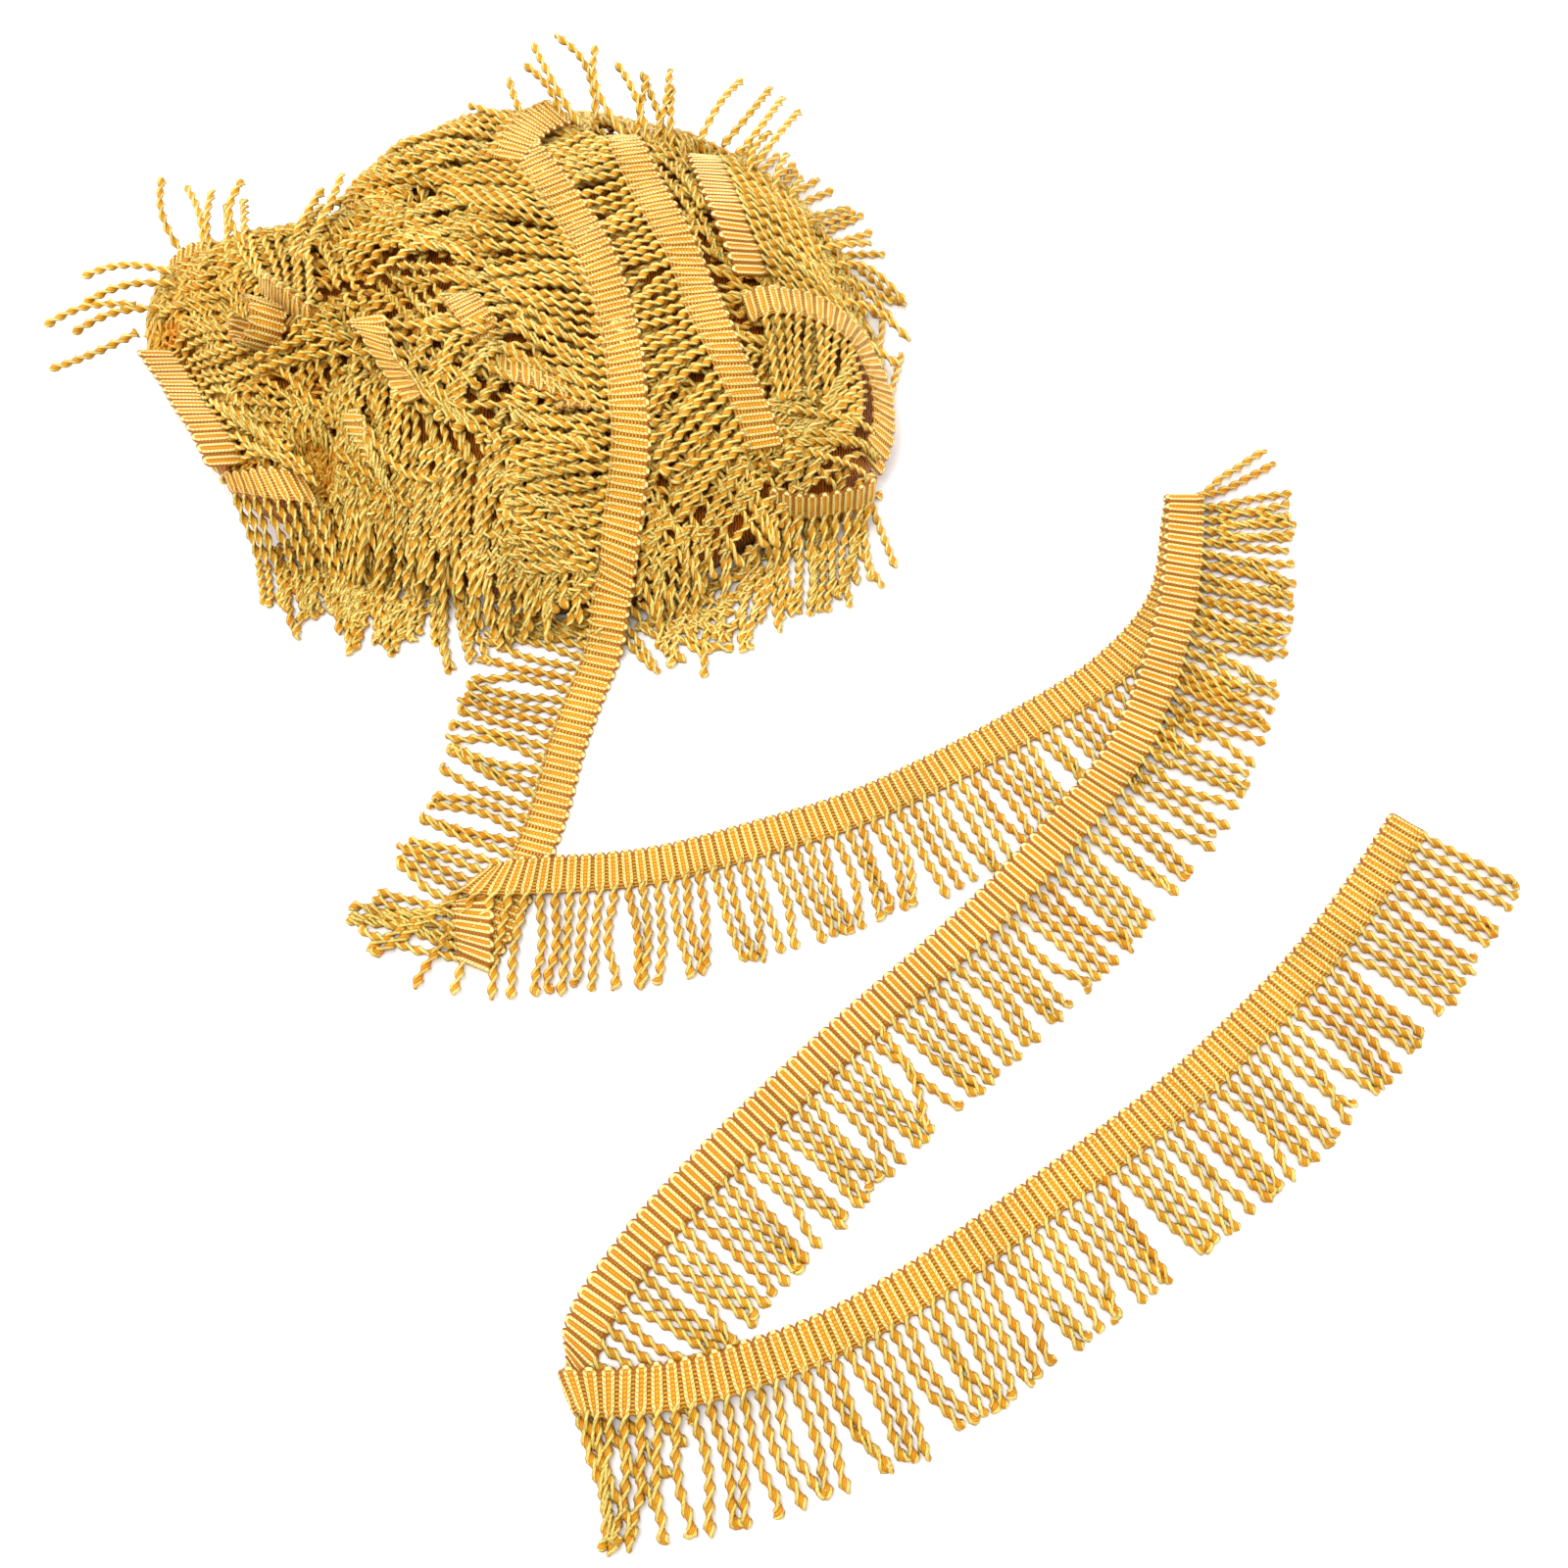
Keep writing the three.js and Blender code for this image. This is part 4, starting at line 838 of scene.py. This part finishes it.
# The heap's other cords hang from windings that lie under them, in combs of a few that run side by
# side. Each comb is the middle of its roots, its azimuth, its number and its lift over the heap.
COMBS = np.array([
    (36, 106, -132, 7, 4), (52, 94, -63, 6, 3), (131, 79, -47, 4, 5), (106, -72, -129, 6, 3),
    (93, -89, -134, 8, 1), (68, -94, -129, 8, 1), (47, -120, -11, 5, 3), (110, -54, -115, 6, 0),
    (140, -44, -138, 7, 2), (31, -43, 158, 6, 5), (36, -69, 168, 6, 5), (36, -81, -165, 6, 3),
    (34, -112, 170, 7, 4), (26, -123, -172, 5, 1), (10, -60, -114, 8, 1), (-28, 102, -172, 5, 5),
    (-50, 52, -164, 6, 1), (5, 32, -170, 8, 0), (-26, -18, -117, 8, 4), (3, -36, -124, 9, 3),
    (-48, -67, -112, 9, 2), (-14, -80, -108, 8, 2), (7, -95, -111, 6, 1), (-51, -97, -126, 8, 4),
    (-40, -107, -80, 4, 3), (-27, -110, -22, 4, 3), (-101, -80, -71, 10, 4), (-90, -79, -31, 5, 6),
    (-139, -43, -26, 5, 3), (-134, -59, -18, 4, 4), (-118, -35, -49, 6, 2), (-127, -36, -116, 4, 4),
    (-110, -23, 16, 4, 4), (-83, -11, -83, 8, 0), (-62, -36, -102, 6, 2), (-58, -21, -53, 6, 3),
    (-86, 19, 47, 6, 3), (-117, 29, -113, 6, 1), (-92, 3, -63, 6, 2), (-82, -10, -148, 4, 5),
    (-138, 1, 164, 5, 3), (-64, 23, -58, 6, 0), (-54, 3, -133, 6, 1), (-59, -84, -174, 7, 0),
    (-101, -61, -42, 6, 1), (-82, -76, -68, 7, 1), (51, -30, -128, 8, 0), (62, 4, -114, 8, 0),
    (20, 0, 176, 8, 0), (28, -82, -150, 8, 0), (1, 94, -138, 8, 0), (65, 64, -61, 8, 0),
    (124, 57, -67, 8, 0), (44, -99, -147, 8, 0), (16, 125, 175, 6, 2), (45, 122, -22, 7, 2),
    (92, 81, 10, 6, 2), (94, 41, 0, 6, 2), (99, 19, -15, 6, 2), (-136, 15, 175, 5, 2),
    (-150, 45, 180, 5, 2), (-92, 41, 109, 6, 2), (-30, 60, -160, 8, 2), (-20, 30, 178, 8, 2),
    (-60, 70, -176, 7, 2), (-40, 84, 168, 7, 3), (-8, 10, -168, 8, 1), (0, 66, -172, 8, 2),
    (-92, -64, -78, 8, 2), (-84, -40, -70, 8, 2), (-104, -44, -96, 7, 3), (-150, 22, -60, 6, 3),
    (-140, 34, 20, 6, 3), (-122, 48, 200, 6, 2), (-78, 44, 150, 6, 3), (60, -60, -128, 8, 1),
    (74, -20, -126, 8, 1), (84, -52, -126, 8, 1), (106, -20, -100, 7, 1), (122, -22, -104, 7, 1),
    (134, -20, -130, 6, 1), (60, 88, -30, 7, 1), (104, 62, -16, 7, 2), (116, 34, -30, 7, 2),
    (-70, -96, -84, 8, 1), (-40, -84, -104, 8, 1), (-6, -104, -96, 8, 1), (20, -100, -100, 8, 1),
    (60, -106, -104, 8, 1), (86, -96, -92, 8, 1), (-88, -88, -80, 6, 2), (4, 120, 150, 7, 2),
    (-99, -50, -79, 4, 4), (-101, 46, -70, 4, 3), (134, -42, -150, 5, 2), (128, -58, -100, 5, 1),
    (152, -50, -166, 4, 6)], float)
COMB_PITCH = 5.2
COMB_SETTLE = 3.6


def comb_cords(combs, seed):
    """Paths of the combs' cords: the roots stand in a line square to the azimuth, and each cord's
    azimuth and lift depart a little from its comb's."""
    chance = np.random.default_rng(seed)
    number = combs[:, 3].astype(int)
    comb = np.repeat(np.arange(len(combs)), number)
    count = len(comb)
    first = np.repeat(np.cumsum(number) - number, number)
    offset = np.arange(count) - first - np.repeat((number - 1) / 2, number)
    azimuth = combs[comb, 2]
    sway = chance.normal(0, 9, len(combs))[comb]
    x = combs[comb, 0] - np.sin(np.radians(azimuth)) * offset * COMB_PITCH + chance.normal(0, 1.2, count)
    y = combs[comb, 1] + np.cos(np.radians(azimuth)) * offset * COMB_PITCH + chance.normal(0, 1.2, count)
    lift = combs[comb, 4] - COMB_SETTLE + chance.normal(0, 0.5, count)
    root = np.stack([x, y, pile_top(x, y) + lift - 2], -1)
    return draped(root, azimuth + chance.normal(0, 6, count) - 1.2 * offset,
                  CORD_REACH + chance.normal(0, 1.5, count), lift,
                  sway + chance.normal(0, 9, count), hook=chance.normal(0, 70, count))


# Under the combs lie the heap's inner windings, rings of the same fringe. Each ring is its share of
# the way out to the rim, and the height of its roots against the heap's top. FRONT is the bearing
# that the cords near the rim run away from, by TURNED_ROUND degrees from straight out. All the heap's
# cords lie TAPE_COVERS under a run and CORE_COVER over the core, and on the left lobe they are a
# darker copy of the same yarn, as painted shade.
WINDINGS = ((0.12, -5), (0.26, -4.4), (0.4, -4.8), (0.54, -4.4), (0.66, -4.8), (0.76, -4.4), (0.84, -3.8),
            (0.9, -3.8), (0.96, -2.5), (0.985, -4))
WINDING_PITCH = 7.9
WINDING_GROUP = 6
FRONT = -99
TURNED_ROUND = 102
TAPE_COVERS = 3.4
CORE_COVER = 2.2
LEFT_PAINTED_SHADE = 1.8


def inner_windings(rings, seed):
    """Paths of the windings' cords. The roots are evenly spaced round each ring, and the cords point
    outwards in groups swayed alike, or near the rim run round the heap, away from the front. At the
    front none hang from the outermost rings."""
    chance = np.random.default_rng(seed)
    paths = []
    for share, lift in rings:
        turn = np.linspace(0, 360, 721)
        out = rim_out(turn) * share
        arc = np.append(0, np.cumsum(np.hypot(np.diff(out), np.radians(0.5) * out[1:])))
        number = int(arc[-1] / WINDING_PITCH)
        bearing = np.interp(np.arange(number) * arc[-1] / number, arc, turn)
        group = np.arange(number) // WINDING_GROUP
        sway = chance.normal(0, 24, group[-1] + 1)[group] * (0.4 if share > 0.8 else 1)
        sway = sway + chance.normal(0, 7, number)
        bearing = (bearing + 180) % 360 - 180
        at_front = abs(bearing + 70.5) < 47.5
        around = chance.choice((-TURNED_ROUND, TURNED_ROUND), group[-1] + 1)[group]
        from_front = (bearing - FRONT + 180) % 360 - 180
        around = np.where(abs(from_front) < 112, TURNED_ROUND * np.sign(from_front), around)
        sway = sway + np.where(at_front | (share < 0.75), 0, around)
        x, y = place_at(bearing, rim_out(bearing) * share)
        high = lift + chance.normal(0, 0.6, number)
        root = np.stack([x, y, heap_top(x, y) + high], -1)
        made = draped(root, bearing + sway, CORD_REACH + chance.normal(0, 1.5, number), high,
                      chance.normal(0, 12, number))
        paths.append(made[(abs(bearing + 89) > 82) | (share < 0.85)])
    return np.concatenate(paths)


def under_runs(paths, courses):
    """The same paths pressed down where they pass under a run of heading: within half its width of
    the run's middle line a point lies at least TAPE_COVERS below the run's own plane, and eases up
    beyond it. Bits that stand steeply press nothing, and the rolled bit lies free of cords. No
    point is then left under the core's top, or under the floor outside the rim."""
    for course in courses:
        middle = (course[::6, :3] + course[::6, 3:6]) / 2
        normal = course[::6, 6:] * np.sign(course[::6, 8:])
        away = paths[:, :, None, :2] - middle[:, :2]
        nearest = np.hypot(*away.transpose(3, 0, 1, 2)).argmin(-1)
        away = np.take_along_axis(away, nearest[..., None, None], 2)[:, :, 0]
        slope = normal[nearest, :2] / np.maximum(normal[nearest, 2:], 0.3)
        most = middle[nearest, 2] - (away * slope).sum(-1) - TAPE_COVERS
        most = most + np.clip(np.linalg.norm(away, axis=-1) - HEADING_WIDTH / 2, 0, None) ** 1.5
        most = most + 60 * (normal[nearest, 2] < 0.6)
        paths[..., 2] = np.minimum(paths[..., 2], most)
    from_roll = np.hypot(paths[..., 0] - ROLL_MIDDLE[0], paths[..., 1] - ROLL_MIDDLE[1])
    paths[..., 2] = np.minimum(paths[..., 2], ROLL_MIDDLE[2] - 10 + np.clip(from_roll - 13, 0, None) ** 1.5)
    inside = rim_share(paths[..., 0], paths[..., 1]) < 0.98
    least = np.where(inside, heap_top(paths[..., 0], paths[..., 1]) - CORE_UNDER + CORE_COVER, FLOOR_LIE)
    paths[..., 2] = np.maximum(paths[..., 2], least)
    return paths


showing = [tail_course[:int(leg_a_arc / SCALLOP) * COLUMNS]]
showing += [run_courses[name] for name in (*RUNS, "left", "fold", "fan", "crown")]
HEAP_LAYERS = {
    # Painted shade: the inner windings' cords are darkened by 0.5 as they lie deeper in the heap.
    "heap_under_cords_": (under_runs(inner_windings(WINDINGS, 43), showing), 18, 0.5, 44),
    "heap_cords_": (under_runs(comb_cords(COMBS, 41), showing), 29, 0, 45),
}
for layer, (paths, stations, painted_shade, seed) in HEAP_LAYERS.items():
    chance = np.random.default_rng(seed)
    order = np.argsort(paths[:, PATH_STEPS // 2, 0])
    for place, chosen in zip(("left", "middle", "right"), np.array_split(order, 3)):
        lay_cords(layer + place, paths[chosen], chance, stations,
                  painted_shade + LEFT_PAINTED_SHADE * (place == "left"))

# At the heap's foot the lowest windings' cords lie out on the floor past its rim. Their roots are a
# little inside it, out of sight. Each stretch is its first and last bearing, its number of cords,
# how far they reach past the rim, and its first and last azimuth.
ROOT_INSIDE = 4
RIM_FRINGE = {
    "right_back": (22, 44, 12, 30, 14, 50), "right_front": (-34, -18, 13, 44, -92, -80),
    "front": (-57, -49, 6, 38, -50, -30), "left_front": (-122, -80, 17, 40, -98, -84),
}
for seed, (name, (start, end, number, reach, first, last)) in enumerate(RIM_FRINGE.items()):
    chance = np.random.default_rng(60 + seed)
    bearing = np.linspace(start, end, number)
    x, y = place_at(bearing, rim_out(bearing) - ROOT_INSIDE)
    paths = draped(np.stack([x, y, np.full(number, 4.0)], -1),
                   np.linspace(first, last, number) + chance.normal(0, 5, number),
                   reach + ROOT_INSIDE + chance.normal(0, 1.5, number), 0, chance.normal(0, 9, number))
    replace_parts(lay_cords("rim_cords_" + name, paths, chance, 36), "rim_fringe_" + name)

# Sprays of cords stand up and out from the heap's shoulders, stiff from their own twist. Each spray
# is the line that its roots stand on and the tips of its cords, and every cord bows a little.
SPRAYS = {
    "back": ((-16, 118, 54, 112), ((-41, 129, 56), (-21, 140, 62), (-14, 145, 66), (-9, 151, 73),
                                   (1, 154, 75), (21, 149, 73), (30, 146, 66), (42, 146, 60))),
    "right": ((40, 118, 108, 84), ((45, 139, 64), (56, 144, 64), (57, 137, 60), (90, 152, 50),
                                   (104, 149, 48), (110, 145, 46), (118, 138, 44), (104, 122, 46),
                                   (112, 112, 42))),
    "side": ((118, 80, 140, 16), ((119, 105, 34), (142, 88, 30), (152, 70, 26), (168, 46, 12),
                                  (162, 36, 10), (170, 22, 12), (164, 4, 16))),
    "left": ((-172, 58, -128, 40), ((-184, 92, 46), (-173, 89, 44), (-158, 82, 48), (-152, 77, 44),
                                    (-143, 76, 48), (-138, 72, 64))),
    "notch": ((-112, 36, -98, 38), ((-101, 68, 62), (-104, 70, 50), (-92, 74, 66), (-90, 66, 52),
                                    (-96, 76, 48))),
    "end": ((-176, 14, -166, 40), ((-228, -4, 24), (-216, 8, 34), (-232, 16, 30), (-213, 24, 36),
                                   (-217, 40, 36))),
}
for seed, (name, ((x1, y1, x2, y2), tips)) in enumerate(SPRAYS.items()):
    chance = np.random.default_rng(70 + seed)
    tips = np.array(tips, float)
    number = len(tips)
    share = np.linspace(0, 1, number)
    x, y = x1 + (x2 - x1) * share, y1 + (y2 - y1) * share
    way = unit(tips - np.column_stack([x, y, heap_top(x, y) - 1]))
    back = (CORD_REACH - 1) * (1 - np.linspace(0, 1, PATH_STEPS + 1))[:, None]
    bow = np.sin(np.linspace(0, np.pi, PATH_STEPS + 1))[:, None]
    aside = np.cross(way, (0, 0, 1)) * chance.normal(0, 5, number)[:, None] + (0, 0, 4)
    paths = tips[:, None] - way[:, None] * back + aside[:, None] * bow
    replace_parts(lay_cords("spray_cords_" + name, paths, chance, 38), "spray_" + name)
